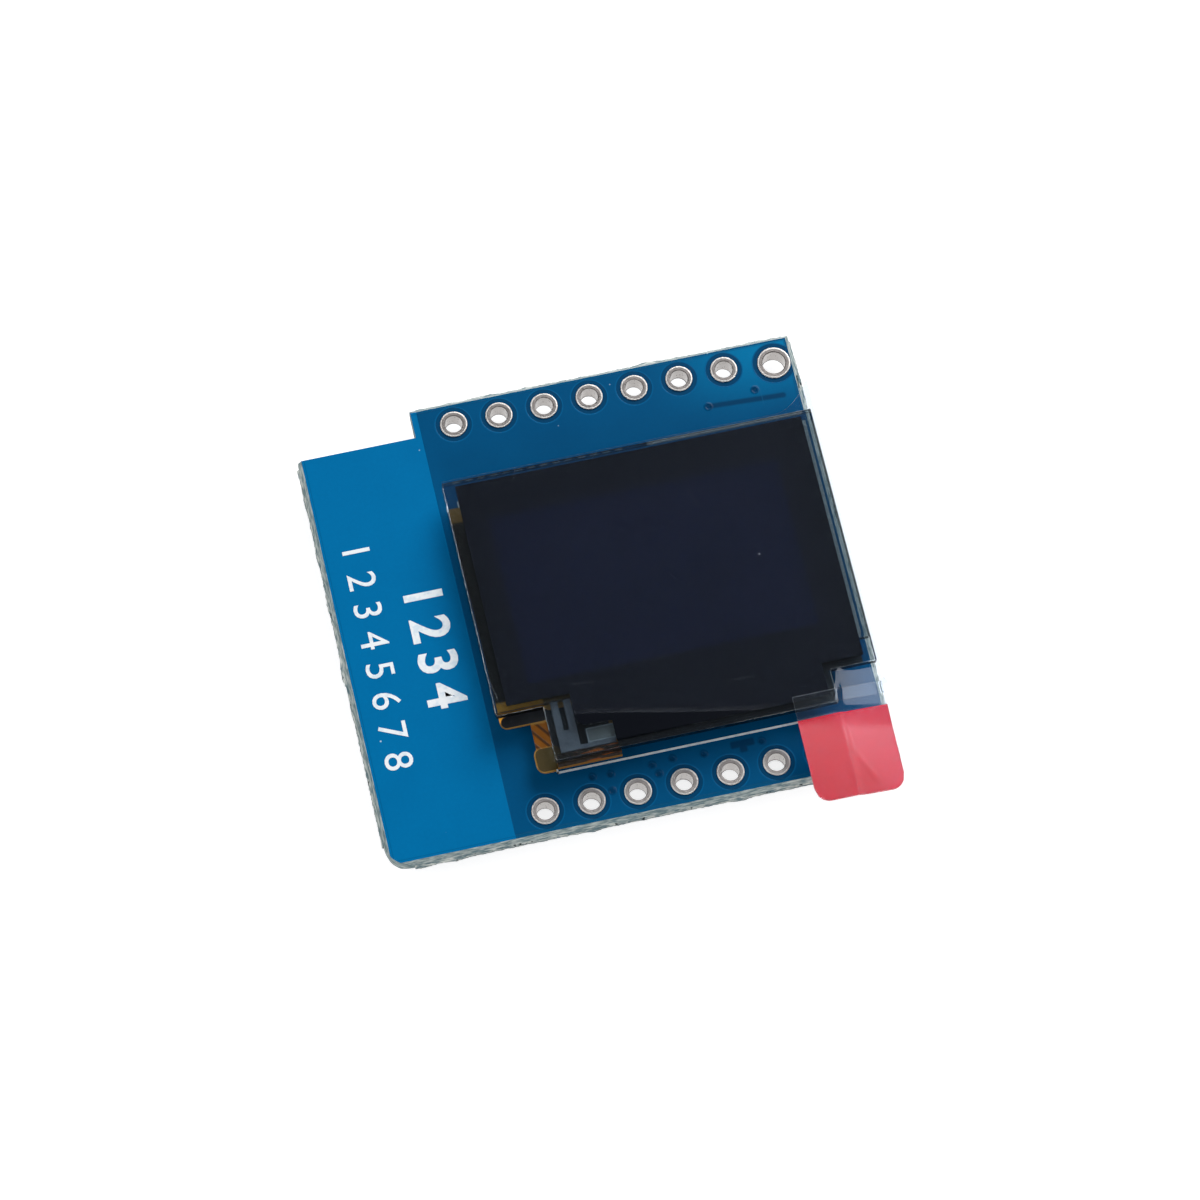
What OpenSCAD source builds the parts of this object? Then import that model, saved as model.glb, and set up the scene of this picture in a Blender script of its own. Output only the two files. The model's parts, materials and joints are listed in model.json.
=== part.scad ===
// Small OLED display module: a blue circuit board with two rows of plated
// header holes, a glass display panel stuck to it on foam tape, the folded
// flex cable, the clear film with its red pull tab, and the chip parts behind.
//
// Frame: X runs along the header rows, Y from the lower row to the upper row,
// Z out of the display. The origin is the first hole of the lower row, at the
// rear face of the board.

/* [Board] */
// Length of the board along the header rows
board_l = 28; // [27.6:0.1:32]
// Width of the board across the header rows
board_w = 25.6; // [25.2:0.1:28]
// Thickness of the board
board_t = 1; // [0.8:0.1:1.6]
// Distance from the last column of header holes to the right edge
end_margin = 1.42; // [1.2:0.02:1.6]
// Distance from each row of header holes to the edge beside it
row_margin = 1.37; // [1.2:0.01:1.6]
// Width of the groove left on each scored edge
score_w = 0.2; // [0.1:0.05:0.25]
// Depth of the groove left on each scored edge
score_d = 0.3; // [0.15:0.05:0.35]
// Radius of the lower left corner
corner_r = 1.4; // [0.6:0.1:2]
// Distance from the notch in the upper left corner to the first column
notch_margin = 2.2; // [1.4:0.1:4]
// Depth of the notch in the upper left corner
notch_d = 1.7; // [1:0.1:2.4]
// Length of the break in the right edge
bite_l = 0.8; // [0.4:0.1:1.6]
// Depth of the break in the right edge
bite_d = 0.14; // [0.05:0.01:0.2]
// Distance from the upper row down to the break in the right edge
bite_drop = 1.1; // [0.5:0.1:4]

/* [Header holes] */
// Distance between holes in a row
pitch = 2.54; // [2.5:0.01:2.56]
// Columns of header holes, the last of which has none in the upper row
columns = 8; // [7:1:9]
// Finished diameter of a header hole
hole_d = 1; // [0.8:0.05:1.1]
// Diameter of the ring round a header hole
pad_d = 1.48; // [1.4:0.02:1.8]
// Finished diameter of the larger corner hole
corner_hole_d = 1.3; // [1.1:0.05:1.4]
// Diameter of the ring round the corner hole
corner_pad_d = 1.82; // [1.7:0.02:2]
// Distance from the corner hole to the right edge
corner_hole_x = 1.16; // [1.1:0.02:1.3]
// Distance from the corner hole to the upper edge
corner_hole_y = 1.57; // [1.3:0.01:1.8]
// Thickness of the plating in the holes and on the rings
plating_t = 0.05; // [0.03:0.01:0.08]

/* [Display panel] */
// Length of the glass along the rows
glass_l = 20.6; // [19:0.1:20.8]
// Height of the full-length part of the glass
glass_h = 13.7; // [12.8:0.1:14.4]
// Length of the narrower ledge below it
ledge_l = 15.5; // [14:0.1:16.5]
// Height of the ledge
ledge_h = 3.1; // [2.9:0.1:3.5]
// Distance that the right shoulder of the glass lies below the left one
shoulder_drop = 1.25; // [0.9:0.05:1.6]
// Distance that the panel stays inside the right edge of the board
panel_inset = 0.15; // [0:0.05:0.4]
// Distance from the upper row of holes down to the top of the panel
panel_drop = 4.06; // [3.8:0.02:4.6]
// Thickness of the front glass
front_glass_t = 0.5; // [0.4:0.05:0.7]
// Thickness of the rear glass
rear_glass_t = 0.5; // [0.4:0.05:0.7]
// Strip of front glass that the rear glass leaves bare above the ledge
rear_glass_step = 0.3; // [0.1:0.05:0.6]
// Thickness of the polarizer
polarizer_t = 0.13; // [0.1:0.01:0.2]
// Clear rim of glass beside the polarizer
side_rim = 0.65; // [0.3:0.05:0.9]
// Clear rim of glass above the polarizer
top_rim = 0.4; // [0.2:0.05:0.7]
// Clear rim of glass round the ledge
ledge_rim = 0.42; // [0.3:0.02:0.6]
// Radius of the polarizer's inner corner on the ledge
polarizer_r = 0.6; // [0.3:0.05:0.7]

/* [Driver chip] */
// Length of the driver chip
chip_l = 10.4; // [6:0.1:11]
// Width of the driver chip
chip_w = 0.8; // [0.6:0.05:0.9]
// Thickness of the driver chip
chip_t = 0.3; // [0.2:0.05:0.35]
// Distance from the ledge's left edge to the chip
chip_start = 1.95; // [1.8:0.05:2.4]
// Width of the sealant bead down the left of the ledge
bead_w = 1.1; // [0.8:0.05:1.2]
// Length of the sealant bead's foot along the bottom of the ledge
bead_foot = 3; // [2.4:0.1:4]
// Thickness of the sealant bead
bead_t = 0.1; // [0.05:0.01:0.12]
// Length of the slot in the bead
bead_slot_l = 1.7; // [0.8:0.1:1.8]
// Width of the slot in the bead
bead_slot_w = 0.3; // [0.15:0.05:0.4]
// Width of the bead's foot
bead_foot_w = 0.24; // [0.2:0.02:0.28]
// Gap between the bead's foot and the flex cable
bead_gap = 0.04; // [0.02:0.01:0.06]
// Gap between the bead and the driver chip
chip_gap = 0.02; // [0.01:0.01:0.05]
// Gap between the bead and the rear glass
bead_top_gap = 0.05; // [0.02:0.01:0.1]
// Distance that the polarizer stays clear of the chip's bare end
chip_window = 0.06; // [0.02:0.01:0.15]

/* [Flex cable] */
// Thickness of the flex cable
flex_t = 0.12; // [0.08:0.01:0.15]
// Distance from the ledge's left edge to the right edge of the fold
fold_w = 3.6; // [3:0.1:4.6]
// Distance from the ledge's left edge to the left edge of the fold
fold_inset = 0.1; // [0.05:0.01:0.3]
// Distance from the bottom of the ledge to the start of the fold's curl
fold_step = 0.05; // [0.02:0.01:0.1]
// Width of the relief slit between the foot and the fold
fold_slit = 0.1; // [0.05:0.01:0.2]
// Width of the strip bonded to the ledge
bond_w = 0.36; // [0.3:0.02:0.4]
// Width of the flex cable behind the panel
flex_w = 10.6; // [9.8:0.1:11]
// Distance that the flex cable stays inside the panel's left edge
flex_inset = 0.17; // [0:0.01:0.4]
// Height of the rounded nose at the flex cable's lower left
nose_h = 0.95; // [0.8:0.05:1.2]
// Distance that the nose reaches below the panel's shoulder
nose_drop = 0.5; // [0.35:0.05:0.65]
// Radius of the nose's corners
nose_r = 0.42; // [0.25:0.01:0.45]
// Width of the rounded foot beside the ledge
foot_w = 1.5; // [1.3:0.1:1.8]
// Height of the rounded foot
foot_h = 1.5; // [1.2:0.05:1.7]
// Radius of the foot's corners
foot_r = 0.5; // [0.2:0.05:0.55]
// Distance that the foot stands out to the left of the ledge
foot_out = 1; // [0.8:0.05:1.2]
// Distance that the neck above the foot stands in from the foot
neck_in = 0.2; // [0.1:0.05:0.4]
// Length of the soldered end of the flex cable
finger_l = 2.6; // [2.2:0.1:3]
// Number of soldered fingers
finger_count = 14; // [8:1:14]
// Distance between fingers
finger_pitch = 0.7; // [0.6:0.01:0.7]
// Width of one finger's land
finger_w = 0.4; // [0.25:0.05:0.45]
// Distance that the flex cable's end stays below the panel's top
flex_end_gap = 1; // [0.9:0.1:1.6]
// Length of each finger's land past the flex cable's end
solder_l = 0.4; // [0.2:0.05:0.5]

/* [Foam tape] */
// Thickness of the foam tape below the flex cable
foam_t = 0.9; // [0.7:0.05:1.1]
// Length of the flex cable that the foam tape backs
foam_run = 5; // [4:0.1:5.4]
// Distance that the foam tape stays inside the glass
foam_inset = 0.35; // [0.2:0.05:0.6]
// Gap between the two foam pads
foam_gap = 0.8; // [0.4:0.1:1.2]

/* [Film and pull tab] */
// Thickness of the protective film
film_t = 0.05; // [0.04:0.01:0.08]
// Distance that the film stands out past the right edge of the glass
film_out = 0.12; // [0.05:0.01:0.16]
// Height of the film's loose corner above the panel
ear_h = 1.5; // [0.8:0.1:1.8]
// Width of the film's loose corner
ear_w = 2.2; // [1.4:0.1:3]
// Thickness of the clear pull tape
tape_t = 0.06; // [0.04:0.01:0.1]
// Width of the pull tape
tape_w = 4.95; // [4:0.05:5]
// Distance that the tape's right edge stays inside the film's edge
tape_inset = 0.15; // [0.05:0.05:0.5]
// Length of tape stuck to the film
tape_hold = 0.65; // [0.5:0.05:1]
// Clear length of tape between the film and the red grip
tape_gap = 0.65; // [0.4:0.05:1]
// Length of the red grip
grip_l = 4.6; // [3.5:0.1:5.5]
// Thickness of the red grip
grip_t = 0.08; // [0.05:0.01:0.12]
// Radius of the grip's corners
grip_r = 0.8; // [0.4:0.1:1.4]
// Distance that the free end of the tape drops
tape_droop = 0.35; // [0.1:0.05:0.8]

/* [Chip parts] */
// Length of a chip capacitor or resistor
part_l = 1.6; // [1.5:0.05:1.7]
// Width of a chip capacitor or resistor
part_w = 0.8; // [0.7:0.05:0.9]
// Height of a chip capacitor
capacitor_h = 0.8; // [0.7:0.05:0.9]
// Height of a chip resistor
resistor_h = 0.45; // [0.4:0.05:0.55]
// Length of each metal end of a chip part
end_l = 0.32; // [0.25:0.01:0.4]
// Distance that a metal end stands proud of the chip part's body
end_proud = 0.02; // [0.01:0.005:0.04]
// Thickness of the copper lands
land_t = 0.04; // [0.03:0.005:0.06]
// Length of a land past the chip part's end
land_out = 0.35; // [0.25:0.05:0.4]
// Width of a land past each side of the chip part
land_side = 0.08; // [0.05:0.01:0.12]
// Radius of the long edges of a metal end
end_r = 0.07; // [0.03:0.01:0.12]
// Height of the solder against a metal end
solder_h = 0.3; // [0.2:0.05:0.35]
// Thickness of the solder at the toe of its fillet
solder_toe = 0.02; // [0.01:0.005:0.04]
// Width of one solder jumper pad
jumper_pad_w = 0.7; // [0.6:0.05:0.8]
// Length of one solder jumper pad
jumper_pad_l = 1.1; // [0.9:0.05:1.3]
// Gap between solder jumper pads
jumper_gap = 0.25; // [0.2:0.05:0.35]
// Height of the solder that bridges two jumper pads
jumper_solder_h = 0.22; // [0.15:0.01:0.3]
// Bare rim of a jumper pad above and below the solder
jumper_rim = 0.05; // [0.02:0.01:0.1]

/* [Hidden] */
$fn = 64;
CUT = 0.5;              // how far a cutting shape runs past the face it cuts

// Places of the chip parts behind the board: [along the rows, across them, turn]
CAPACITORS = [
    [1.5, 12.4, 0], [5, 12.4, 0], [8.5, 12.4, 0],
    [12.4, 17.4, 90], [15.6, 17.4, 90], [3, 4.6, 0], [14, 4.6, 0]
];
RESISTORS = [
    [12, 12.4, 0], [15.6, 12.4, 0], [8.5, 8.2, 0], [12, 8.2, 0], [15.6, 8.2, 0]
];
JUMPER = [8.5, 4.6];    // middle of the three-pad solder jumper

// Edges of the board
right_x = (columns - 1) * pitch + end_margin;
left_x = right_x - board_l;
low_y = -row_margin;
high_y = low_y + board_w;

// Header holes
row_gap = board_w - 2 * row_margin;
function row_points(count, y) = [for (i = [0:count - 1]) [i * pitch, y]];
lower_row = row_points(columns, 0);
upper_row = row_points(columns - 1, row_gap);
corner_hole = [right_x - corner_hole_x, high_y - corner_hole_y];

// Panel outline
panel_x1 = right_x - panel_inset;
panel_x0 = panel_x1 - glass_l;
panel_top = row_gap - panel_drop;
shoulder_y = panel_top - glass_h;
ledge_x0 = panel_x0 + (glass_l - ledge_l) / 2;
ledge_x1 = ledge_x0 + ledge_l;
ledge_y = shoulder_y - ledge_h;
right_shoulder_y = shoulder_y - shoulder_drop;

// Heights of the layers on the front of the board
flex_z = board_t + foam_t;
rear_glass_z = flex_z + flex_t;
front_glass_z = rear_glass_z + rear_glass_t;
polarizer_z = front_glass_z + front_glass_t;
film_z = polarizer_z + polarizer_t;
tape_z = film_z + film_t;

// Flex cable
flex_x0 = panel_x0 + flex_inset;
flex_x1 = flex_x0 + flex_w;
fold_y = ledge_y + fold_step;            // where the bonded strip starts to curl
fold_r = (front_glass_z - flex_z) / 2;   // outer radius of the fold
fold_z = (front_glass_z + flex_z) / 2;
fold_x0 = ledge_x0 + fold_inset;
fold_x1 = ledge_x0 + fold_w;
foot_y = fold_y - fold_r;
foot_x = ledge_x0 - foot_out;
nose_y = shoulder_y - nose_drop;
flex_end = panel_top - flex_end_gap;
finger_y = flex_end - finger_l;
foam_y0 = shoulder_y + rear_glass_step + foam_inset;
ramp_y = foam_y0 + foam_run;
finger_z = board_t + land_t;
finger_x0 = flex_x0 + (flex_w - (finger_count - 1) * finger_pitch) / 2;

// Sealant bead and driver chip
bead_x0 = ledge_x0 + ledge_rim;
bead_y = fold_y + bond_w + bead_gap;
bead_top = shoulder_y + rear_glass_step - bead_top_gap;
chip_x = ledge_x0 + chip_start;
chip_y = bead_y + bead_foot_w + chip_gap;

// Film and pull tape
film_x1 = panel_x1 + film_out;
ear_steps = 6;                           // straight pieces in the loose corner's edge
grip_steps = 7;                          // straight pieces in the free end's droop
tape_x1 = film_x1 - tape_inset;
tape_x0 = tape_x1 - tape_w;
grip_y1 = ledge_y - tape_gap;
tape_end = grip_y1 - grip_l;
tape_y1 = ledge_y + tape_hold;
free_l = ledge_y - tape_end;
grip_run = [for (i = [0:grip_steps]) grip_y1 - grip_l * i / grip_steps];
tape_run = concat([tape_y1, ledge_y], grip_run);

// Chip parts
function numbered(word, count) = [for (i = [1:count]) str(word, "_", i)];

// A box from one corner to another
module span_box(from, to) {
    translate(from)
        cube(to - from);
}

// A flat rectangle with four rounded corners
module rounded_rect(from, to, r) {
    size = to - from;
    translate([from.x + r, from.y])
        square([size.x - 2 * r, size.y]);
    translate([from.x, from.y + r])
        square([size.x, size.y - 2 * r]);
    for (x = [from.x + r, to.x - r], y = [from.y + r, to.y - r])
        translate([x, y])
            circle(r);
}

// Wedge that leaves a scored groove along the front or rear of an edge
module score_cut(length) {
    rotate([90, 0, 90])
        linear_extrude(length + 2 * CUT)
            polygon([
                [-CUT, -CUT],
                [score_w * (1 + CUT / score_d), -CUT],
                [score_w, 0],
                [0, score_d],
                [-CUT, score_d]
            ]);
}

// The grooves on both faces along one edge, laid along X with the board at +Y
module edge_grooves(length) {
    translate([-CUT, 0, 0])
        score_cut(length);
    translate([-CUT, 0, board_t])
        mirror([0, 0, 1])
            score_cut(length);
}

module board_outline() {
    difference() {
        translate([left_x, low_y])
            square([board_l, board_w]);
        translate([left_x - CUT, high_y - notch_d])
            square([CUT - notch_margin - left_x, notch_d + CUT]);
        difference() {
            translate([left_x - CUT, low_y - CUT])
                square(corner_r + CUT);
            translate([left_x + corner_r, low_y + corner_r])
                circle(corner_r);
        }
    }
}

module circuit_board() {
    color("#0b66a0")
    difference() {
        linear_extrude(board_t)
            board_outline();
        translate([left_x, low_y, 0])
            edge_grooves(board_l);
        translate([right_x, high_y, 0])
            rotate(180)
                edge_grooves(board_l);
        translate([right_x, low_y, 0])
            rotate(90)
                edge_grooves(board_w);
        translate([left_x, high_y, 0])
            rotate(-90)
                edge_grooves(board_w);
        translate([right_x - bite_d, row_gap - bite_drop - bite_l, -CUT])
            cube([bite_d + CUT, bite_l, board_t + 2 * CUT]);
        for (p = concat(lower_row, upper_row))
            translate([p.x, p.y, -CUT])
                cylinder(d = hole_d + 2 * plating_t, h = board_t + 2 * CUT);
        translate([corner_hole.x, corner_hole.y, -CUT])
            cylinder(d = corner_hole_d + 2 * plating_t, h = board_t + 2 * CUT);
    }
}

// Plated barrel with a ring on each face of the board
module plated_hole(bore_d, ring_d) {
    rotate_extrude()
        polygon([
            [bore_d / 2, -plating_t],
            [ring_d / 2, -plating_t],
            [ring_d / 2, 0],
            [bore_d / 2 + plating_t, 0],
            [bore_d / 2 + plating_t, board_t],
            [ring_d / 2, board_t],
            [ring_d / 2, board_t + plating_t],
            [bore_d / 2, board_t + plating_t]
        ]);
}

module barrels(points) {
    color("#c9c6c0")
        for (p = points)
            translate(p)
                plated_hole(hole_d, pad_d);
}

module barrels_lower_row() {
    barrels(lower_row);
}

module barrels_upper_row() {
    barrels(upper_row);
}

module barrel_corner_hole() {
    color("#c9c6c0")
        translate(corner_hole)
            plated_hole(corner_hole_d, corner_pad_d);
}

// Full-length glass with the narrower ledge below it. Its right shoulder lies
// lower than the left one, which makes room for the flex cable.
module glass_outline() {
    translate([panel_x0, shoulder_y])
        square([glass_l, glass_h]);
    translate([ledge_x0, right_shoulder_y])
        square([panel_x1 - ledge_x0, shoulder_drop]);
    translate([ledge_x0, ledge_y])
        square([ledge_l, ledge_h]);
}

module front_glass() {
    color("#5a6b78", 0.5)
        translate([0, 0, front_glass_z])
            linear_extrude(front_glass_t)
                glass_outline();
}

module rear_glass() {
    color("#46545f", 0.6)
        span_box([panel_x0, shoulder_y + rear_glass_step, rear_glass_z],
                 [panel_x1, panel_top, front_glass_z]);
}

// The dark sheet over the picture area and most of the ledge. Its lower left
// corner is cut away in two steps, which bares the sealant and the chip's end.
module polarizer() {
    low = ledge_y + ledge_rim;
    leg_x = bead_x0 + bead_w;
    chip_bare_x = bead_x0 + bead_foot;
    step_y = chip_y + chip_w + chip_window;
    color("#1a2028")
        translate([0, 0, polarizer_z])
            linear_extrude(polarizer_t)
                difference() {
                    union() {
                        translate([panel_x0 + side_rim, shoulder_y + ledge_rim])
                            square([glass_l - 2 * side_rim,
                                    glass_h - top_rim - ledge_rim]);
                        translate([leg_x, low])
                            square([ledge_x1 - ledge_rim - leg_x,
                                    shoulder_y + 2 * ledge_rim - low]);
                        translate([leg_x, right_shoulder_y + ledge_rim])
                            square([panel_x1 - side_rim - leg_x,
                                    shoulder_drop + ledge_rim]);
                    }
                    translate([leg_x - CUT, low - CUT])
                        square([chip_bare_x - leg_x + CUT, step_y - low + CUT]);
                    difference() {
                        translate([leg_x - CUT, step_y - CUT])
                            square(polarizer_r + CUT);
                        translate([leg_x + polarizer_r, step_y + polarizer_r])
                            circle(polarizer_r);
                    }
                }
}

module driver_chip() {
    color("#8a8f88")
        span_box([chip_x, chip_y, front_glass_z - chip_t],
                 [chip_x + chip_l, chip_y + chip_w, front_glass_z]);
}

// Grey sealant on the back of the ledge: an L with a slot in its upright leg,
// which leaves room for the end of the driver chip
module chip_sealant() {
    color("#5c6670")
        translate([0, 0, front_glass_z - bead_t])
            linear_extrude(bead_t)
                difference() {
                    union() {
                        translate([bead_x0, bead_y])
                            square([bead_w, bead_top - bead_y]);
                        translate([bead_x0, bead_y])
                            square([bead_foot, bead_foot_w]);
                    }
                    translate([bead_x0 + (bead_w - bead_slot_w) / 2,
                               bead_top - bead_slot_l])
                        square([bead_slot_w, bead_slot_l + CUT]);
                    translate([chip_x - chip_gap, chip_y - chip_gap])
                        square([chip_l, chip_w + 2 * chip_gap]);
                }
}

// Flat part of the flex cable behind the panel, with its nose, neck and foot
module flex_outline() {
    // the wide part behind the rear glass
    translate([flex_x0, nose_y + nose_h / 2])
        square([flex_w, ramp_y - nose_y - nose_h / 2]);
    // nose
    rounded_rect([flex_x0, nose_y], [fold_x1, nose_y + nose_h], nose_r);
    // neck and the strip that goes to the fold
    translate([foot_x + neck_in, fold_y])
        square([fold_x1 - foot_x - neck_in, nose_y + nose_r - fold_y]);
    // foot
    rounded_rect([foot_x, foot_y], [foot_x + foot_w, foot_y + foot_h], foot_r);
}

module flex_cable() {
    color("#7a5a24") {
        // bonded strip on the back of the ledge, and the fold below it
        translate([fold_x0, 0, 0])
            rotate([90, 0, 90])
                linear_extrude(fold_x1 - fold_x0)
                    flex_fold_profile();
        // flat part against the rear glass
        translate([0, 0, flex_z])
            linear_extrude(flex_t)
                difference() {
                    flex_outline();
                    // a slit keeps the foot clear of the fold
                    translate([fold_x0 - fold_slit, fold_y - 2 * fold_r])
                        square([fold_w + foot_w, 2 * fold_r]);
                }
        // ramp down to the board and the soldered end
        translate([flex_x0, 0, 0])
            rotate([90, 0, 90])
                linear_extrude(flex_w)
                    polygon([
                        [ramp_y, flex_z], [finger_y, finger_z],
                        [flex_end, finger_z], [flex_end, finger_z + flex_t],
                        [finger_y, finger_z + flex_t], [ramp_y, flex_z + flex_t]
                    ]);
    }
}

// Side profile of the bonded strip and the half-round fold
module flex_fold_profile() {
    translate([fold_y, fold_z])
        difference() {
            circle(fold_r);
            circle(fold_r - flex_t);
            translate([0, -2 * fold_r])
                square(4 * fold_r);
        }
    for (z = [flex_z, front_glass_z - flex_t])
        translate([fold_y, z])
            square([bond_w, flex_t]);
}

module flex_lands() {
    color("#c9a24a")
        for (i = [0:finger_count - 1])
            translate([finger_x0 + i * finger_pitch - finger_w / 2,
                       finger_y, board_t])
                cube([finger_w, finger_l + solder_l, land_t]);
}

module flex_solder() {
    color("#b9bcc0")
        for (i = [0:finger_count - 1])
            translate([finger_x0 + i * finger_pitch - finger_w / 2, 0, 0])
                rotate([90, 0, 90])
                    linear_extrude(finger_w)
                        polygon([
                            [flex_end, finger_z],
                            [flex_end + solder_l, finger_z],
                            [flex_end, finger_z + flex_t]
                        ]);
}

module foam_tape_left() {
    color("#d8d8d4")
        span_box([flex_x0 + foam_inset, foam_y0, board_t],
                 [flex_x1 - foam_inset, ramp_y, flex_z]);
}

module foam_tape_right() {
    color("#d8d8d4")
        span_box([flex_x1 + foam_gap, foam_y0, board_t],
                 [panel_x1 - foam_inset, panel_top - foam_inset, rear_glass_z]);
}

// The film covers the glass, bridges the step at the lower right, and has a
// loose corner at the upper right
module film_outline() {
    ear = [for (i = [ear_steps:-1:0]) [
        film_x1 - ear_w * (1 - i / ear_steps),
        panel_top + ear_h * pow(i / ear_steps, 2)
    ]];
    polygon(concat(
        [[panel_x0, shoulder_y], [ledge_x0, shoulder_y], [ledge_x0, ledge_y],
         [film_x1, ledge_y]],
        ear,
        [[panel_x0, panel_top]]
    ));
}

module protective_film() {
    color("#b8cdd8", 0.3)
        translate([0, 0, film_z])
            linear_extrude(film_t)
                film_outline();
}

// Height that the tape has dropped by at a point on its run: it lies flat on
// the film, and hangs in a shallow curve past the ledge
function tape_drop(y) = y > ledge_y ? 0
    : tape_droop * pow((ledge_y - y) / free_l, 2);

// A strip as wide as the tape that follows the tape's curve through the points
// of a run. Its underside is offset from the tape's by the depth below.
module tape_strip(run, thick, below) {
    under = [for (y = run) [y, tape_z - below - tape_drop(y)]];
    top = [for (i = [len(run) - 1:-1:0]) under[i] + [0, thick]];
    translate([tape_x0, 0, 0])
        rotate([90, 0, 90])
            linear_extrude(tape_w)
                polygon(concat(under, top));
}

// Plan outline of the tape with rounded corners at its free end
module tape_plan(from_y) {
    translate([tape_x0, tape_end + grip_r])
        square([tape_w, from_y - tape_end - grip_r]);
    translate([tape_x0 + grip_r, tape_end])
        square([tape_w - 2 * grip_r, 2 * grip_r]);
    for (x = [tape_x0 + grip_r, tape_x1 - grip_r])
        translate([x, tape_end + grip_r])
            circle(grip_r);
}

module pull_tape() {
    color("#c8d4dc", 0.35)
        intersection() {
            tape_strip(tape_run, tape_t, 0);
            linear_extrude(tape_z + tape_t + CUT)
                tape_plan(tape_y1);
        }
}

module pull_grip() {
    color("#d0304a")
        intersection() {
            tape_strip(grip_run, grip_t, grip_t);
            linear_extrude(tape_z + tape_t + CUT)
                tape_plan(grip_y1);
        }
}

// Puts a chip part at its place behind the board, with its own Z pointing out
// of the rear face from the top of the lands
module behind_board(place) {
    translate([place.x, place.y, -land_t])
        rotate([180, 0, place[2]])
            children();
}

module chip_body(height) {
    translate([-part_l / 2 + end_l, -part_w / 2 + end_proud, end_proud])
        cube([part_l - 2 * end_l, part_w - 2 * end_proud,
              height - 2 * end_proud]);
}

module chip_ends(height) {
    for (side = [0, 1])
        mirror([side, 0, 0])
            translate([part_l / 2 - end_l, 0, 0])
                rotate([90, 0, 90])
                    linear_extrude(end_l)
                        rounded_rect([-part_w / 2, 0], [part_w / 2, height],
                                     end_r);
}

module capacitor(i) {
    color("#a98a63")
        behind_board(CAPACITORS[i])
            chip_body(capacitor_h);
}

// A resistor's ceramic base carries a thin dark coat between its metal ends
module resistor(i) {
    color("#26282b")
        behind_board(RESISTORS[i])
            chip_body(resistor_h);
}

module capacitor_ends() {
    color("#c7c9cb")
        for (place = CAPACITORS)
            behind_board(place)
                chip_ends(capacitor_h);
}

module resistor_ends() {
    color("#c7c9cb")
        for (place = RESISTORS)
            behind_board(place)
                chip_ends(resistor_h);
}

module chip_lands() {
    color("#c9a24a")
        for (place = concat(CAPACITORS, RESISTORS))
            behind_board(place)
                for (side = [0, 1])
                    mirror([side, 0, 0])
                        translate([part_l / 2 - end_l,
                                   -part_w / 2 - land_side, -land_t])
                            cube([end_l + land_out, part_w + 2 * land_side,
                                  land_t]);
}

// Hollow solder fillet from a land up the face of a metal end
module solder_fillet(r) {
    rotate([90, 0, 0])
        translate([0, 0, -part_w / 2])
            linear_extrude(part_w)
                difference() {
                    square([min(r, land_out), r]);
                    translate([r, r])
                        circle(r - solder_toe);
                }
}

module chip_solder() {
    color("#b9bcc0")
        for (place = concat(CAPACITORS, RESISTORS))
            behind_board(place)
                for (side = [0, 1])
                    mirror([side, 0, 0])
                        translate([part_l / 2, 0, 0])
                            solder_fillet(solder_h);
}

module jumper_pads() {
    color("#c9a24a")
        for (i = [-1:1])
            translate([JUMPER.x + i * (jumper_pad_w + jumper_gap)
                           - jumper_pad_w / 2,
                       JUMPER.y - jumper_pad_l / 2, -land_t])
                cube([jumper_pad_w, jumper_pad_l, land_t]);
}

// Domed blob of solder across the first two jumper pads
module jumper_solder() {
    blob_l = jumper_pad_w + jumper_gap;
    blob_r = jumper_pad_l / 2 - jumper_rim;
    dome_r = (blob_r * blob_r + jumper_solder_h * jumper_solder_h)
        / (2 * jumper_solder_h);
    color("#b9bcc0")
        translate([JUMPER.x - blob_l, JUMPER.y, -land_t])
            rotate([180, 0, 0])
                intersection() {
                    union() {
                        for (x = [0, blob_l])
                            translate([x, 0, jumper_solder_h - dome_r])
                                sphere(dome_r);
                        translate([0, 0, jumper_solder_h - dome_r])
                            rotate([0, 90, 0])
                                cylinder(r = dome_r, h = blob_l);
                    }
                    translate([-dome_r, -dome_r, 0])
                        cube([blob_l + 2 * dome_r, 2 * dome_r,
                              jumper_solder_h]);
                }
}

circuit_board();
barrels_lower_row();
barrels_upper_row();
barrel_corner_hole();
front_glass();
rear_glass();
polarizer();
driver_chip();
chip_sealant();
flex_cable();
flex_lands();
flex_solder();
foam_tape_left();
foam_tape_right();
protective_film();
pull_tape();
pull_grip();
for (i = [1:len(CAPACITORS)])
    capacitor(i - 1);
for (i = [1:len(RESISTORS)])
    resistor(i - 1);
capacitor_ends();
resistor_ends();
chip_lands();
chip_solder();
jumper_pads();
jumper_solder();
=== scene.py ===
# Dresses the small OLED display module for rendering. The sections follow the
# order in which the module is put together: board, plating, flex cable, panel,
# films, and the chip parts behind the board. Then come the floor and lamps.
import json
import math
import random

import bpy
from mathutils import Matrix, Vector, noise


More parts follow.
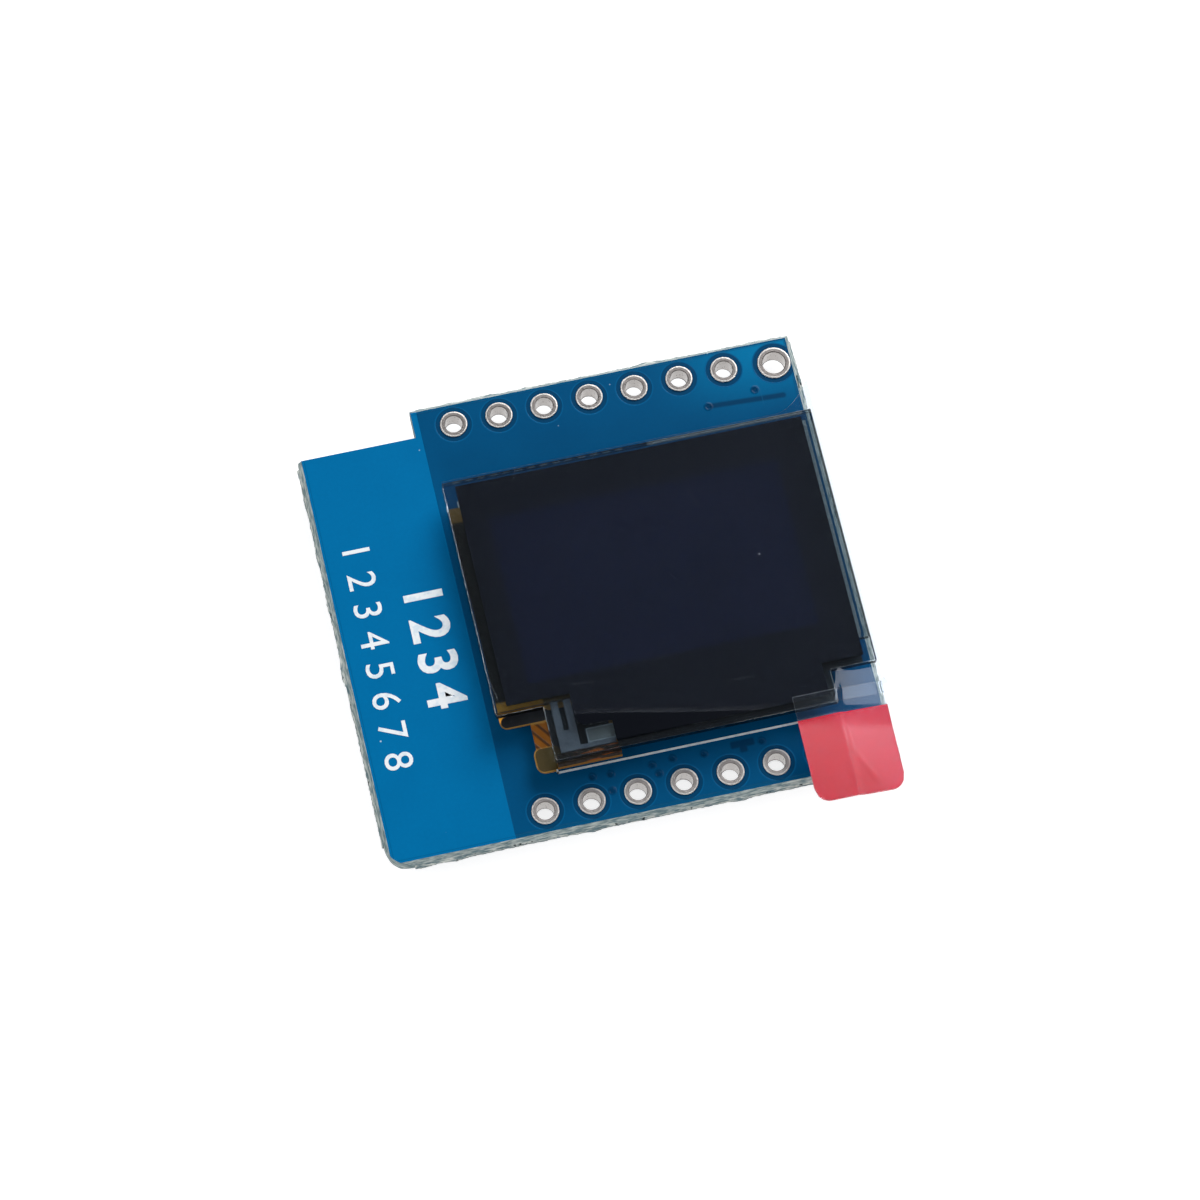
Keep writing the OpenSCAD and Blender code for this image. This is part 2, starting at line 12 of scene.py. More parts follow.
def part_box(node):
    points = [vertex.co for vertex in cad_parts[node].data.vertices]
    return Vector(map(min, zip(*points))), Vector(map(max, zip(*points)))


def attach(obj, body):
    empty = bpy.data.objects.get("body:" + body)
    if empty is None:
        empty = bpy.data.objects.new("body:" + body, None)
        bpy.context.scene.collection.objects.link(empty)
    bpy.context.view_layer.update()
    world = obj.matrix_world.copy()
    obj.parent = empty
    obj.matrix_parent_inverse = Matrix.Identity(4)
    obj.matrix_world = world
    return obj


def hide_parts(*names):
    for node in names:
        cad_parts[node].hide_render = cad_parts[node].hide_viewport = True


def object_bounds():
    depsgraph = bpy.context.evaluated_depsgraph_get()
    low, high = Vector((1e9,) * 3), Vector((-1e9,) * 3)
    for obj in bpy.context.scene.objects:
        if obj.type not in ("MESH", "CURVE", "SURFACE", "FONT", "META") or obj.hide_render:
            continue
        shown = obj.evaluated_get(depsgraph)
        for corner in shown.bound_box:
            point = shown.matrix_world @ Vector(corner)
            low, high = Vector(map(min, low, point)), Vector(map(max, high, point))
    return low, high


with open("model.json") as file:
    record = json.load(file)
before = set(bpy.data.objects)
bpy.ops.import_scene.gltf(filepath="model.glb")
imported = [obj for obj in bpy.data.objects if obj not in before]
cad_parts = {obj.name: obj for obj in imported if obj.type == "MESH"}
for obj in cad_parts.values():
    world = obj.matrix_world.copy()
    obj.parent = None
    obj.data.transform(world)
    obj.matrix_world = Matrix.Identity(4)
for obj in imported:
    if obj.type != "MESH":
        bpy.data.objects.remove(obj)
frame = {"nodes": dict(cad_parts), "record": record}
cad_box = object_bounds()

# ------------------------
# Circuit board. Glass-fibre laminate with copper on both faces under blue
# lacquer. Boards are made many to a sheet, scored, and snapped apart, which
# leaves the edges as raw, torn fibre.
MM = 0.001


def paint(red, green, blue):
    """A colour given in screen values, 0 to 255, as the shader's linear one."""
    linear = []
    for value in (red / 255, green / 255, blue / 255):
        low = value / 12.92
        high = ((value + 0.055) / 1.055) ** 2.4
        linear.append(low if value <= 0.04045 else high)
    return (*linear, 1)


class Finish:
    """A material worked out in millimetres on the piece's own coordinates."""

    def __init__(self, name, settings):
        self.material = bpy.data.materials.new(name)
        self.material.use_nodes = True
        self.nodes = self.material.node_tree.nodes
        self.links = self.material.node_tree.links
        self.shader = self.nodes["Principled BSDF"]
        for socket, value in settings.items():
            self.feed(self.shader.inputs[socket], value)
        place = self.nodes.new("ShaderNodeTexCoord")
        self.mm = self.vector("SCALE", place.outputs["Object"], Scale=1 / MM)
        self.x, self.y, self.z = self.node("SeparateXYZ", [self.mm]).outputs
        self.facing = self.node("SeparateXYZ", [place.outputs["Normal"]]).outputs
        self.flat = self.vector("MULTIPLY", self.mm, (1, 1, 0))

    def feed(self, socket, value):
        if isinstance(value, bpy.types.NodeSocket):
            self.links.new(value, socket)
        else:
            socket.default_value = value

    def node(self, kind, inputs=(), **settings):
        made = self.nodes.new("ShaderNode" + kind)
        for key, value in settings.items():
            setattr(made, key, value)
        for i, value in enumerate(inputs):
            self.feed(made.inputs[i], value)
        return made

    def vector(self, operation, *values, **named):
        made = self.node("VectorMath", values, operation=operation)
        for socket, value in named.items():
            self.feed(made.inputs[socket], value)
        scalar = operation in ("LENGTH", "DISTANCE", "DOT_PRODUCT")
        return made.outputs["Value" if scalar else "Vector"]

    def math(self, operation, *values):
        return self.node("Math", values, operation=operation).outputs[0]

    def lowest(self, values):
        result = values[0]
        for value in values[1:]:
            result = self.math("MINIMUM", result, value)
        return result

    def above(self, value, level, soft):
        """1 where a value is above a level and 0 below it, with a soft step."""
        inputs = [value, level - soft, level + soft, 0, 1]
        made = self.node("MapRange", inputs, interpolation_type="SMOOTHSTEP")
        return made.outputs[0]

    def below(self, value, level, soft):
        return self.math("SUBTRACT", 1, self.above(value, level, soft))

    def both(self, first, second):
        return self.math("MULTIPLY", first, second)

    def either(self, first, second):
        return self.math("MAXIMUM", first, second)

    def range(self, share, low, high):
        """A number between two others, by a share from 0 to 1."""
        return self.math("MULTIPLY_ADD", share, high - low, low)

    def mix(self, share, under, over):
        made = self.node("Mix", data_type="RGBA")
        self.feed(made.inputs[0], share)
        self.feed(made.inputs[6], under)
        self.feed(made.inputs[7], over)
        return made.outputs[2]

    def noise(self, per_mm, detail=2, stretch=(1, 1, 1), swirl=0):
        place = self.vector("MULTIPLY", self.mm, stretch)
        made = self.node("TexNoise", [place])
        made.inputs["Scale"].default_value = per_mm
        made.inputs["Detail"].default_value = detail
        made.inputs["Distortion"].default_value = swirl
        return made.outputs[0]

    def specks(self, per_mm, share, radius):
        """Small round spots in a share of the cells of a jumbled grid."""
        made = self.node("TexVoronoi", [self.mm])
        made.inputs["Scale"].default_value = per_mm
        luck = self.node("SeparateColor", [made.outputs[1]]).outputs[0]
        spot = self.below(made.outputs[0], radius * per_mm, radius * per_mm / 2)
        return self.both(spot, self.below(luck, share, 0.001))

    def scratches(self, luck, count, low, high, length, width):
        """Short fine lines laid at random between two corners."""
        chance = random.Random(luck)
        marks = []
        for _ in range(count):
            x, y = (chance.uniform(a, b) for a, b in zip(low, high))
            turn = chance.uniform(0, math.tau)
            reach = length * chance.uniform(0.2, 1)
            end = (x + reach * math.cos(turn), y + reach * math.sin(turn))
            marks.append(self.line((x, y), end))
        return self.below(self.lowest(marks), width, width)

    def block(self, x0, x1, y0, y1, radius=0):
        """Distance outside a rectangle with round corners, less inside."""
        reach_x = (x1 - x0) / 2 - radius
        reach_y = (y1 - y0) / 2 - radius
        off_x = self.math("ABSOLUTE", self.math("SUBTRACT", self.x, (x0 + x1) / 2))
        off_y = self.math("ABSOLUTE", self.math("SUBTRACT", self.y, (y0 + y1) / 2))
        out_x = self.math("SUBTRACT", off_x, reach_x)
        out_y = self.math("SUBTRACT", off_y, reach_y)
        joined = self.node("CombineXYZ", [out_x, out_y])
        outside = self.vector("MAXIMUM", joined.outputs[0], (0, 0, 0))
        inside = self.math("MINIMUM", self.math("MAXIMUM", out_x, out_y), 0)
        total = self.math("ADD", self.vector("LENGTH", outside), inside)
        return self.math("SUBTRACT", total, radius)

    def line(self, start, end):
        """Distance from a straight line between two places."""
        run = Vector(end) - Vector(start)
        offset = self.vector("SUBTRACT", self.flat, (*start, 0))
        along = self.vector("DOT_PRODUCT", offset, (*(run / run.length_squared), 0))
        share = self.math("MINIMUM", self.math("MAXIMUM", along, 0), 1)
        foot = self.vector("SCALE", (*run, 0), Scale=share)
        return self.vector("DISTANCE", offset, foot)

    def route(self, places):
        return self.lowest([self.line(a, b) for a, b in zip(places, places[1:])])

    def spot(self, place):
        return self.vector("DISTANCE", self.flat, (place[0], place[1], 0))

    def row(self, places):
        """Distance from the nearest of a row of evenly spaced places."""
        first, last = places[0], places[-1]
        pitch = (last[0] - first[0]) / (len(places) - 1)
        step = self.math("DIVIDE", self.math("SUBTRACT", self.x, first[0]), pitch)
        step = self.math("ROUND", step)
        step = self.math("MAXIMUM", step, 0)
        step = self.math("MINIMUM", step, len(places) - 1)
        middle = self.math("MULTIPLY_ADD", step, pitch, first[0])
        centre = self.node("CombineXYZ", [middle, first[1]])
        return self.vector("DISTANCE", self.flat, centre.outputs[0])

    def colour(self, value):
        self.feed(self.shader.inputs["Base Color"], value)

    def roughness(self, value):
        self.feed(self.shader.inputs["Roughness"], value)

    def relief(self, height, strength=1):
        """Bump from a height in millimetres."""
        bump = self.node("Bump")
        bump.inputs["Strength"].default_value = strength
        bump.inputs["Distance"].default_value = MM
        self.feed(bump.inputs["Height"], height)
        self.feed(self.shader.inputs["Normal"], bump.outputs[0])

    def bumps(self, depth, *cloud):
        """Low bumps of a depth in millimetres, laid out as noise."""
        self.relief(self.math("MULTIPLY", self.noise(*cloud), depth))


def dress(node, finish):
    """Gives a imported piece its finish."""
    for slot in frame["nodes"][node].material_slots:
        slot.material = finish.material


def hole_places(word):
    """Places of the holes whose mount name starts with a word, left to right."""
    found = []
    for mount in frame["record"]["mounts"]:
        if mount["name"].startswith(word):
            found.append(Vector(mount["pos_m"][:2]) / MM)
    return sorted(found, key=lambda place: place.x)


board_low, board_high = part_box("circuit_board")
lower_holes = hole_places("lower_hole")
upper_holes = hole_places("upper_hole")
corner_hole = hole_places("corner_hole")[0]


def board_finish():
    """Blue lacquer over copper and bare laminate, and torn fibre on the edges."""
    finish = Finish("blue_board", {"Specular IOR Level": 0.08})
    left, low = board_low.x / MM, board_low.y / MM
    right, high = board_high.x / MM, board_high.y / MM
    pour_left = lower_holes[0].x - 1.85
    edge_gap = 0.3
    ring_gap = 1.0
    corner_gap = 1.17
    copper = 0.035

    # copper areas of the front, with clear rings round the plated holes
    pour = finish.block(pour_left, right - edge_gap, low + 0.42, high - edge_gap)
    poured = finish.below(pour, 0, 0.02)
    near_row = finish.lowest([finish.row(lower_holes), finish.row(upper_holes)])
    near_corner = finish.math("SUBTRACT", finish.spot(corner_hole),
                              corner_gap - ring_gap)
    near_hole = finish.lowest([near_row, near_corner])
    gap = finish.below(near_hole, ring_gap, 0.02)
    # a thin band just outside each clearance ring, where a painted highlight goes on the
    # lacquer's step
    rim = finish.both(finish.above(near_hole, ring_gap - 0.01, 0.02),
                      finish.below(near_hole, ring_gap + 0.06, 0.03))

    # plated vias under the lacquer, and the copper tracks of the front
    vias = [(2.87, 1.33), (3.86, 1.27), (6.14, 1.30), (6.40, 0.74), (3.74, 0.34),
            (7.29, 1.42), (9.0, 1.31), (12.2, 1.36), (16.63, 21.33), (13.9, 20.9)]
    near_via = finish.lowest([finish.spot(via) for via in vias])
    via = finish.below(near_via, 0.24, 0.05)
    dimple = finish.below(near_via, 0.13, 0.04)
    track = finish.route([(14.1, 20.9), (18.1, 20.7)])
    trunk = finish.block(10.5, 11.8, 1.25, 1.65, 0.1)
    stem = finish.block(10.95, 11.35, 0.95, 1.4, 0.1)
    moat = finish.lowest([finish.math("SUBTRACT", track, 0.15), trunk, stem])
    moated = finish.below(moat, 0, 0.08)
    hairline = finish.line((16.93, 20.4), (16.93, 21.5))
    scribed = finish.below(hairline, 0.025, 0.02)

    cloud = finish.noise(0.35, 3)
    grain = finish.noise(5, 2)
    bare = finish.mix(cloud, paint(0, 105, 160), paint(0, 113, 170))
    over_copper = finish.mix(cloud, paint(1, 74, 119), paint(2, 84, 131))
    # painted light: the copper areas are painted lighter towards the top right, the side
    # the key lamp shines from
    painted_light_top_right = finish.above(finish.y, high - 2.8, 2.2)
    over_copper = finish.mix(finish.both(painted_light_top_right, finish.above(finish.x, 14, 4)),
                             over_copper, paint(0, 116, 166))
    margin = finish.above(finish.x, pour_left, 0.02)
    bare = finish.mix(margin, bare, paint(6, 84, 127))
    front = finish.mix(poured, bare, over_copper)
    # painted shade: the clearance rings carry no copper and are painted darker where the
    # lacquer dips into them
    front = finish.mix(gap, front, paint(5, 66, 105))
    # painted highlight: that band is painted lighter round every clearance ring
    front = finish.mix(finish.both(rim, poured), front, paint(5, 92, 142))
    ridge = finish.block(left + 0.34, right - 0.34, low + 0.34, high - 0.34)
    ridge = finish.below(finish.math("ABSOLUTE", ridge), 0.025, 0.02)
    front = finish.mix(finish.range(ridge, 0, 0.35), front, paint(2, 60, 100))
    front = finish.mix(finish.both(via, poured), front, paint(2, 68, 110))
    front = finish.mix(finish.range(dimple, 0, 0.5), front, paint(2, 48, 82))
    front = finish.mix(finish.range(moated, 0, 0.75), front, paint(6, 50, 84))
    front = finish.mix(finish.range(scribed, 0, 0.5), front, paint(20, 96, 142))

    # copper areas and tracks of the rear
    rear_pour = finish.block(left + edge_gap, right - edge_gap, low + edge_gap,
                             high - edge_gap, 0.4)
    routes = [
        [(0.7, 12.4), (-0.3, 13.4), (-0.3, 21.2), (0, 22.8)],
        [(2.3, 12.4), (2.3, 16.0), (5.08, 18.8), (5.08, 22.8)],
        [(4.2, 12.4), (3.5, 13.1), (3.5, 14.8), (7.62, 18.9), (7.62, 22.8)],
        [(5.8, 12.4), (5.8, 9.8), (7.7, 8.2)],
        [(9.3, 8.2), (10.4, 9.4), (10.4, 11.6), (11.2, 12.4)],
        [(12.8, 12.4), (14.8, 12.4)],
        [(12.4, 16.6), (12.4, 14.2), (14.8, 12.4)],
        [(12.4, 18.2), (12.4, 20.4), (12.7, 22.8)],
        [(15.6, 18.2), (15.6, 20.8), (15.24, 22.8)],
        [(16.4, 12.4), (16.4, 15.2), (15.6, 16.6)],
        [(11.2, 8.2), (10.2, 7.2), (10.2, 0.6), (10.16, 0)],
        [(12.8, 8.2), (12.8, 6.4), (13.2, 4.6)],
        [(14.8, 8.2), (14.8, 6.2), (17.2, 3.8), (17.78, 0)],
        [(16.4, 8.2), (17.6, 9.4), (17.6, 20.0)],
        [(7.55, 4.6), (6.4, 3.4), (5.08, 0.2)],
        [(9.45, 4.6), (8.6, 2.6), (7.62, 0.2)],
        [(2.2, 4.6), (1.2, 3.4), (0, 0.2)],
        [(3.8, 4.6), (5.2, 6.4), (5.2, 11.4), (5.8, 12.4)],
    ]
    near_route = finish.lowest([finish.route(places) for places in routes])
    routed = finish.below(near_route, 0.13, 0.02)
    cleared = finish.either(gap, finish.below(near_route, 0.33, 0.02))
    rear = finish.mix(finish.below(rear_pour, 0, 0.02), paint(2, 96, 148),
                      over_copper)
    rear = finish.mix(cleared, rear, paint(2, 98, 150))
    rear = finish.mix(routed, rear, over_copper)

    # raw laminate on the edges: plies of glass cloth in clear resin
    ply = finish.math("SINE", finish.math("MULTIPLY", finish.z, 24))
    strand = finish.noise(6, 4, (0.3, 0.3, 2.4), 0.3)
    fibre = finish.mix(finish.above(strand, 0.5, 0.16), paint(118, 142, 148),
                       paint(214, 222, 218))
    fibre = finish.mix(finish.range(ply, 0.1, 0.24), fibre, paint(96, 122, 130))
    up = finish.above(finish.facing[2], 0.9, 0.01)
    down = finish.below(finish.facing[2], -0.9, 0.01)
    skin = finish.math("MINIMUM", finish.math("ADD", up, down), 1)
    lacquer = finish.mix(up, rear, front)
    lacquer = finish.mix(finish.range(grain, 0, 0.1), lacquer, paint(0, 0, 0))
    dust = finish.specks(0.9, 0.16, 0.045)
    lacquer = finish.mix(finish.both(dust, skin), lacquer, paint(176, 206, 222))
    finish.colour(finish.mix(skin, fibre, lacquer))
    finish.roughness(finish.range(skin, 0.85, 0.24))
    steps = finish.both(up, finish.math("SUBTRACT", poured, gap))
    lines = finish.both(down, finish.math("SUBTRACT", routed, cleared))
    height = finish.math("MULTIPLY", finish.math("ADD", steps, lines), copper)
    height = finish.math("MULTIPLY_ADD", finish.both(via, up), 0.02, height)
    height = finish.math("MULTIPLY_ADD", finish.both(dimple, up), -0.04, height)
    height = finish.math("MULTIPLY_ADD", grain, 0.003, height)
    torn = finish.both(strand, finish.math("SUBTRACT", 1, skin))
    finish.relief(finish.math("MULTIPLY_ADD", torn, 0.06, height), 0.7)
    return finish


dress("circuit_board", board_finish())

# ------------------------
# Torn webs. The score leaves a thin web of laminate all round, which tears
# when the board is snapped out and stands a little proud between the grooves.
def choose(*pieces):
    """Selects only these pieces and makes the first one active."""
    bpy.ops.object.select_all(action="DESELECT")
    for piece in pieces:
        piece.select_set(True)
    bpy.context.view_layer.objects.active = pieces[0]


def pick(piece, kind, test):
    """Enters edit mode on a piece with only the parts that pass a test selected."""
    choose(piece)
    bpy.ops.object.mode_set(mode="EDIT")
    bpy.ops.mesh.select_mode(type=kind)
    bpy.ops.mesh.select_all(action="DESELECT")
    bpy.ops.object.mode_set(mode="OBJECT")
    mesh = piece.data
    if kind == "FACE":
        for face in mesh.polygons:
            face.select = test(face.center, face.normal)
    elif kind == "EDGE":
        for edge in mesh.edges:
            ends = [mesh.vertices[i].co for i in edge.vertices]
            edge.select = test(*ends)
    else:
        for vertex in mesh.vertices:
            vertex.select = test(vertex.co)
    bpy.ops.object.mode_set(mode="EDIT")


def done():
    bpy.ops.object.mode_set(mode="OBJECT")


def settle(piece):
    """Puts a piece's place, turn and size into its mesh."""
    choose(piece)
    bpy.ops.object.transform_apply(location=True, rotation=True, scale=True)


def grid(name, low, high, along, across):
    """Adds a flat net between two corners at the height of the first."""
    bpy.ops.object.select_all(action="DESELECT")
    bpy.ops.mesh.primitive_grid_add(x_subdivisions=along, y_subdivisions=across,
                                    size=1)
    piece = bpy.context.object
    piece.name = piece.data.name = name
    piece.location = ((low[0] + high[0]) / 2, (low[1] + high[1]) / 2, low[2])
    piece.scale = (high[0] - low[0], high[1] - low[1], 1)
    settle(piece)
    return piece


def face_out(piece):
    """Merges doubled corners and turns every face outwards."""
    pick(piece, "FACE", lambda centre, normal: True)
    bpy.ops.mesh.remove_doubles(threshold=0.0005 * MM)
    bpy.ops.mesh.normals_make_consistent(inside=False)
    done()


def join(pieces, name):
    choose(*pieces)
    if len(pieces) > 1:
        bpy.ops.object.join()
    pieces[0].name = pieces[0].data.name = name
    return pieces[0]


def fit(piece, finish, slot, *nodes):
    """Gives a new piece its finish and its body; its slot is not used."""
    piece.data.materials.clear()
    piece.data.materials.append(finish.material)
    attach(piece, "root")
    if nodes:
        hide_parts(*nodes)


def smooth(piece, degrees=35):
    choose(piece)
    bpy.ops.object.shade_smooth_by_angle(angle=math.radians(degrees))


def web_finish():
    """Ends of glass strands in clear resin, pale and ragged."""
    finish = Finish("torn_laminate", {"Roughness": 0.9, "Specular IOR Level": 0.3})
    strand = finish.noise(6, 4, (0.3, 0.3, 2.4), 0.3)
    fibre = finish.mix(finish.above(strand, 0.5, 0.14), paint(112, 134, 140),
                       paint(222, 226, 220))
    chips = finish.above(finish.noise(2.2, 3), 0.66, 0.03)
    fibre = finish.mix(chips, fibre, paint(52, 62, 66))
    blue = finish.above(finish.noise(1.6, 3), 0.62, 0.05)
    finish.colour(finish.mix(finish.range(blue, 0, 0.5), fibre, paint(60, 100, 118)))
    finish.relief(finish.math("MULTIPLY", strand, 0.05))
    return finish


def torn_web(length, place, turn, luck):
    """A rough strip of laminate along an edge of the board."""
    web_low, web_high = 0.32 * MM, 0.68 * MM
    root_depth = 0.05 * MM
    cell = 0.14 * MM
    taper = 0.08 * MM
    cells = int(length / cell)
    strip = grid("web", (0, web_low, 0), (length, web_high, 0), cells, 5)
    for vertex in strip.data.vertices:
        at = Vector((vertex.co.x / MM, luck, vertex.co.y / MM))
        coarse = max(0, noise.noise(at * 0.9))
        fine = abs(noise.noise(at * 5))
        inner = min(1, (vertex.co.y - web_low) / taper,
                    (web_high - vertex.co.y) / taper)
        vertex.co.z = (0.06 + 0.14 * coarse + 0.08 * fine) * MM * max(inner, 0)
    pick(strip, "FACE", lambda centre, normal: True)
    bpy.ops.mesh.extrude_region_move(
        TRANSFORM_OT_translate={"value": (0, 0, -root_depth)})
    done()
    strip.matrix_world = (Matrix.Translation(place) @ Matrix.Rotation(turn, 4, "Z")
                          @ Matrix.Rotation(math.radians(90), 4, "X"))
    settle(strip)
    face_out(strip)
    return strip


notch_gap = 0.35 * MM
corner_radius = 1.4 * MM
notch_x = -2.2 * MM
notch_depth = 1.7 * MM
webs = [
    torn_web(board_high.x - board_low.x - corner_radius - notch_gap,
             (board_low.x + corner_radius, board_low.y, 0), 0, 1.3),
    torn_web(board_high.y - board_low.y - 2 * notch_gap,
             (board_high.x, board_low.y + notch_gap, 0), math.radians(90), 7.9),
    torn_web(board_high.x - notch_x - 2 * notch_gap,
             (board_high.x - notch_gap, board_high.y, 0), math.radians(180), 4.1),
    torn_web(board_high.y - board_low.y - corner_radius - notch_depth - notch_gap,
             (board_low.x, board_high.y - notch_depth - notch_gap, 0),
             math.radians(-90), 2.7),
]
fit(join(webs, "torn_webs"), web_finish(), "board")


# ------------------------
# Printing. White ink screened on the lacquer: a line below the display and
# plain numerals down the left of the front. The rear has outlines round its
# parts, and numerals beside them and the holes.
def slab(name, low, high):
    """Adds a block between two corners, with its place in its mesh."""
    low, high = Vector(low), Vector(high)
    bpy.ops.object.select_all(action="DESELECT")
    bpy.ops.mesh.primitive_cube_add(size=1, location=(low + high) / 2)
    piece = bpy.context.object
    piece.name = piece.data.name = name
    piece.scale = high - low
    settle(piece)
    return piece


def round_upright_edges(piece, radius, segments=6):
    pick(piece, "EDGE", lambda a, b: (a.xy - b.xy).length < 1e-7)
    bpy.ops.mesh.bevel(offset=radius, segments=segments, affect="EDGES")
    done()


def ink_line(start, end, width, height, sign):
    """A printed line with round ends, on the front (1) or the rear (-1)."""
    start, end = Vector(start) * MM, Vector(end) * MM
    middle = (start + end) / 2
    half = (end - start).length / 2 + width / 2
    line = slab("line", (-half, -width / 2, min(0, sign * ink_t)),
                (half, width / 2, max(0, sign * ink_t)))
    round_upright_edges(line, width * 0.45, 4)
    turn = math.atan2(end.y - start.y, end.x - start.x)
    line.matrix_world = (Matrix.Translation((middle.x, middle.y, height))
                         @ Matrix.Rotation(turn, 4, "Z"))
    settle(line)
    return line


def numeral(words, place, tall, turn, height, sign, bold=0):
    """Printed numerals whose middle is at a place, on the front or the rear."""
    bpy.ops.object.select_all(action="DESELECT")
    bpy.ops.object.text_add()
    text = bpy.context.object
    text.data.body = words
    text.data.size = tall * MM * 1.38
    text.data.extrude = ink_t / 2
    text.data.offset = bold * MM
    text.data.resolution_u = 4
    text.data.align_x = "CENTER"
    text.data.align_y = "CENTER"
    bpy.ops.object.convert(target="MESH")
    text = bpy.context.object
    flip = Matrix.Rotation(math.pi if sign < 0 else 0, 4, "Y")
    text.matrix_world = (
        Matrix.Translation((place[0] * MM, place[1] * MM, height + sign * ink_t / 2))
        @ Matrix.Rotation(turn, 4, "Z") @ flip)
    settle(text)
    return text


def ink_finish():
    """White ink, slightly rough, thin where the screen clogged."""
    finish = Finish("white_ink", {"Roughness": 0.55})
    wear = finish.above(finish.noise(2.5, 2), 0.56, 0.1)
    finish.colour(finish.mix(wear, paint(236, 240, 243), paint(214, 226, 235)))
    finish.bumps(0.004, 3, 2)
    return finish


ink_t = 0.02 * MM
ink = ink_finish()
front_z = board_high.z
line_y = 1.95
line_w = 0.12 * MM
front_marks = [
    ink_line((1.13, line_y), (16.4, line_y), line_w, front_z, 1),
    ink_line((1.13, line_y), (1.13, line_y + 0.3), line_w, front_z, 1),
]
sideways = math.radians(-90)
small_x, big_x = -6.87, -3.89
for count in range(8):
    mark = numeral(str(count + 1), (small_x - 0.035 * count, 16.7 - count * 1.75),
                   1.6, sideways, front_z, 1)
    front_marks.append(mark)
for count in range(4):
    mark = numeral(str(count + 1), (big_x, 13.4 - count * 1.95), 2.15, sideways,
                   front_z, 1, 0.06)
    front_marks.append(mark)
fit(join(front_marks, "front_print"), ink, "board")


# ------------------------
# Plated holes. Copper barrels and rings dipped in tin and blown level with
# hot air, which leaves a low, slightly uneven crown of tin on each ring.
def tin_finish(name, dull):
    """Tin that has gone grey: soft reflections, fine pits and small scratches."""
    finish = Finish(name, {"Metallic": 1.0})
    cloud = finish.noise(2.2, 3)
    pits = finish.specks(7, 0.3, 0.03)
    shade = finish.mix(cloud, paint(168, 162, 158), paint(196, 192, 189))
    finish.colour(finish.mix(pits, shade, paint(120, 114, 108)))
    finish.roughness(finish.range(cloud, dull - 0.08, dull + 0.08))
    finish.relief(finish.math("MULTIPLY_ADD", pits, -0.01,
                              finish.math("MULTIPLY", finish.noise(9), 0.012)))
    return finish


def ring_finish():
    """Tin on a ring: grey face, a painted highlight on the outer rim, a dark line of
    painted shade round the bore, and painted shade over the upper rows.
    """
    finish = tin_finish("ring_tin", 0.48)
    near_corner = finish.math("SUBTRACT", finish.spot(corner_hole),
                              (corner_r - ring_r) / MM)
    near = finish.lowest([finish.row(lower_holes), finish.row(upper_holes),
                          near_corner])
    outer_rim = 0.07
    bore_line = 0.24
    cloud = finish.noise(2.2, 3)
    face = finish.mix(cloud, paint(140, 135, 133), paint(168, 162, 160))
    # painted shade: the rings of the upper rows are painted darker
    painted_shade_upper_rows = finish.above(finish.y, upper_holes[0].y - 2, 1)
    face = finish.mix(finish.range(painted_shade_upper_rows, 0, 0.6), face, paint(104, 100, 98))
    # painted highlight: a bright band on the outer edge of each ring
    bright = finish.above(near, ring_r / MM - outer_rim, 0.02)
    face = finish.mix(bright, face, paint(212, 208, 204))
    # painted shade: a dark line where each ring turns down into its bore
    dark = finish.below(near, ring_r / MM - bore_line, 0.03)
    finish.colour(finish.mix(dark, face, paint(84, 78, 74)))
    return finish


def tin_crown(place, inner, outer, height, luck):
    """A flattened ring of tin with an uneven crown."""
    middle = (inner + outer) / 2
    reach = (outer - inner) / 2 + 0.012 * MM
    crown = 0.024 * MM
    bpy.ops.object.select_all(action="DESELECT")
    bpy.ops.mesh.primitive_torus_add(major_radius=middle, minor_radius=reach,
                                     major_segments=48, minor_segments=14)
    ring = bpy.context.object
    ring.scale.z = 2.2 * crown / reach
    ring.location = (*(place * MM), height)
    settle(ring)
    for vertex in ring.data.vertices:
        side = vertex.co - Vector((*(place * MM), height))
        swell = noise.noise(Vector((side.x, side.y, 0)) / MM * 1.4
                            + Vector((luck, 0, 0)))
        side.z = math.copysign(min(abs(side.z), crown), side.z) * (1 + 0.3 * swell)
        side.xy *= 1 + 0.01 * swell
        vertex.co = Vector((*(place * MM), height)) + side
    return ring


def tin_row(name, places, inner, outer):
    rings = []
    for count, place in enumerate(places):
        for height in (board_low.z - plate_t, board_high.z + plate_t):
            luck = count * 3.1 + height / MM
            rings.append(tin_crown(place, inner, outer, height, luck))
    row = join(rings, name)
    smooth(row, 60)
    fit(row, ring_tin, "plating")


plate_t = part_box("barrels_lower_row")[1].z - board_high.z
header_bore = 0.5 * MM
corner_bore = 0.65 * MM
ring_r = lower_holes[0].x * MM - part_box("barrels_lower_row")[0].x
corner_r = corner_hole.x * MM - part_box("barrel_corner_hole")[0].x
ring_tin = ring_finish()
tin_row("tin_lower_row", lower_holes, header_bore, ring_r)
tin_row("tin_upper_row", upper_holes, header_bore, ring_r)
tin_row("tin_corner_hole", [corner_hole], corner_bore, corner_r)
barrel_tin = tin_finish("barrel_tin", 0.2)
for node in ("barrels_lower_row", "barrels_upper_row", "barrel_corner_hole"):
    dress(node, barrel_tin)


# ------------------------
# Foam tape. Closed-cell white foam with glue on both faces, which holds the
# display off the board.
def foam_finish():
    finish = Finish("foam", {"Roughness": 0.95, "Specular IOR Level": 0.1})
    cells = finish.node("TexVoronoi", [finish.mm])
    cells.inputs["Scale"].default_value = 9
    depth = cells.outputs[0]
    # painted shade: each cell is painted darker towards its middle, where the bumps sink
    # lowest
    finish.colour(finish.mix(depth, paint(150, 150, 146), paint(226, 226, 222)))
    finish.relief(finish.math("MULTIPLY", depth, 0.05))
    return finish


foam = foam_finish()
dress("foam_tape_left", foam)
dress("foam_tape_right", foam)


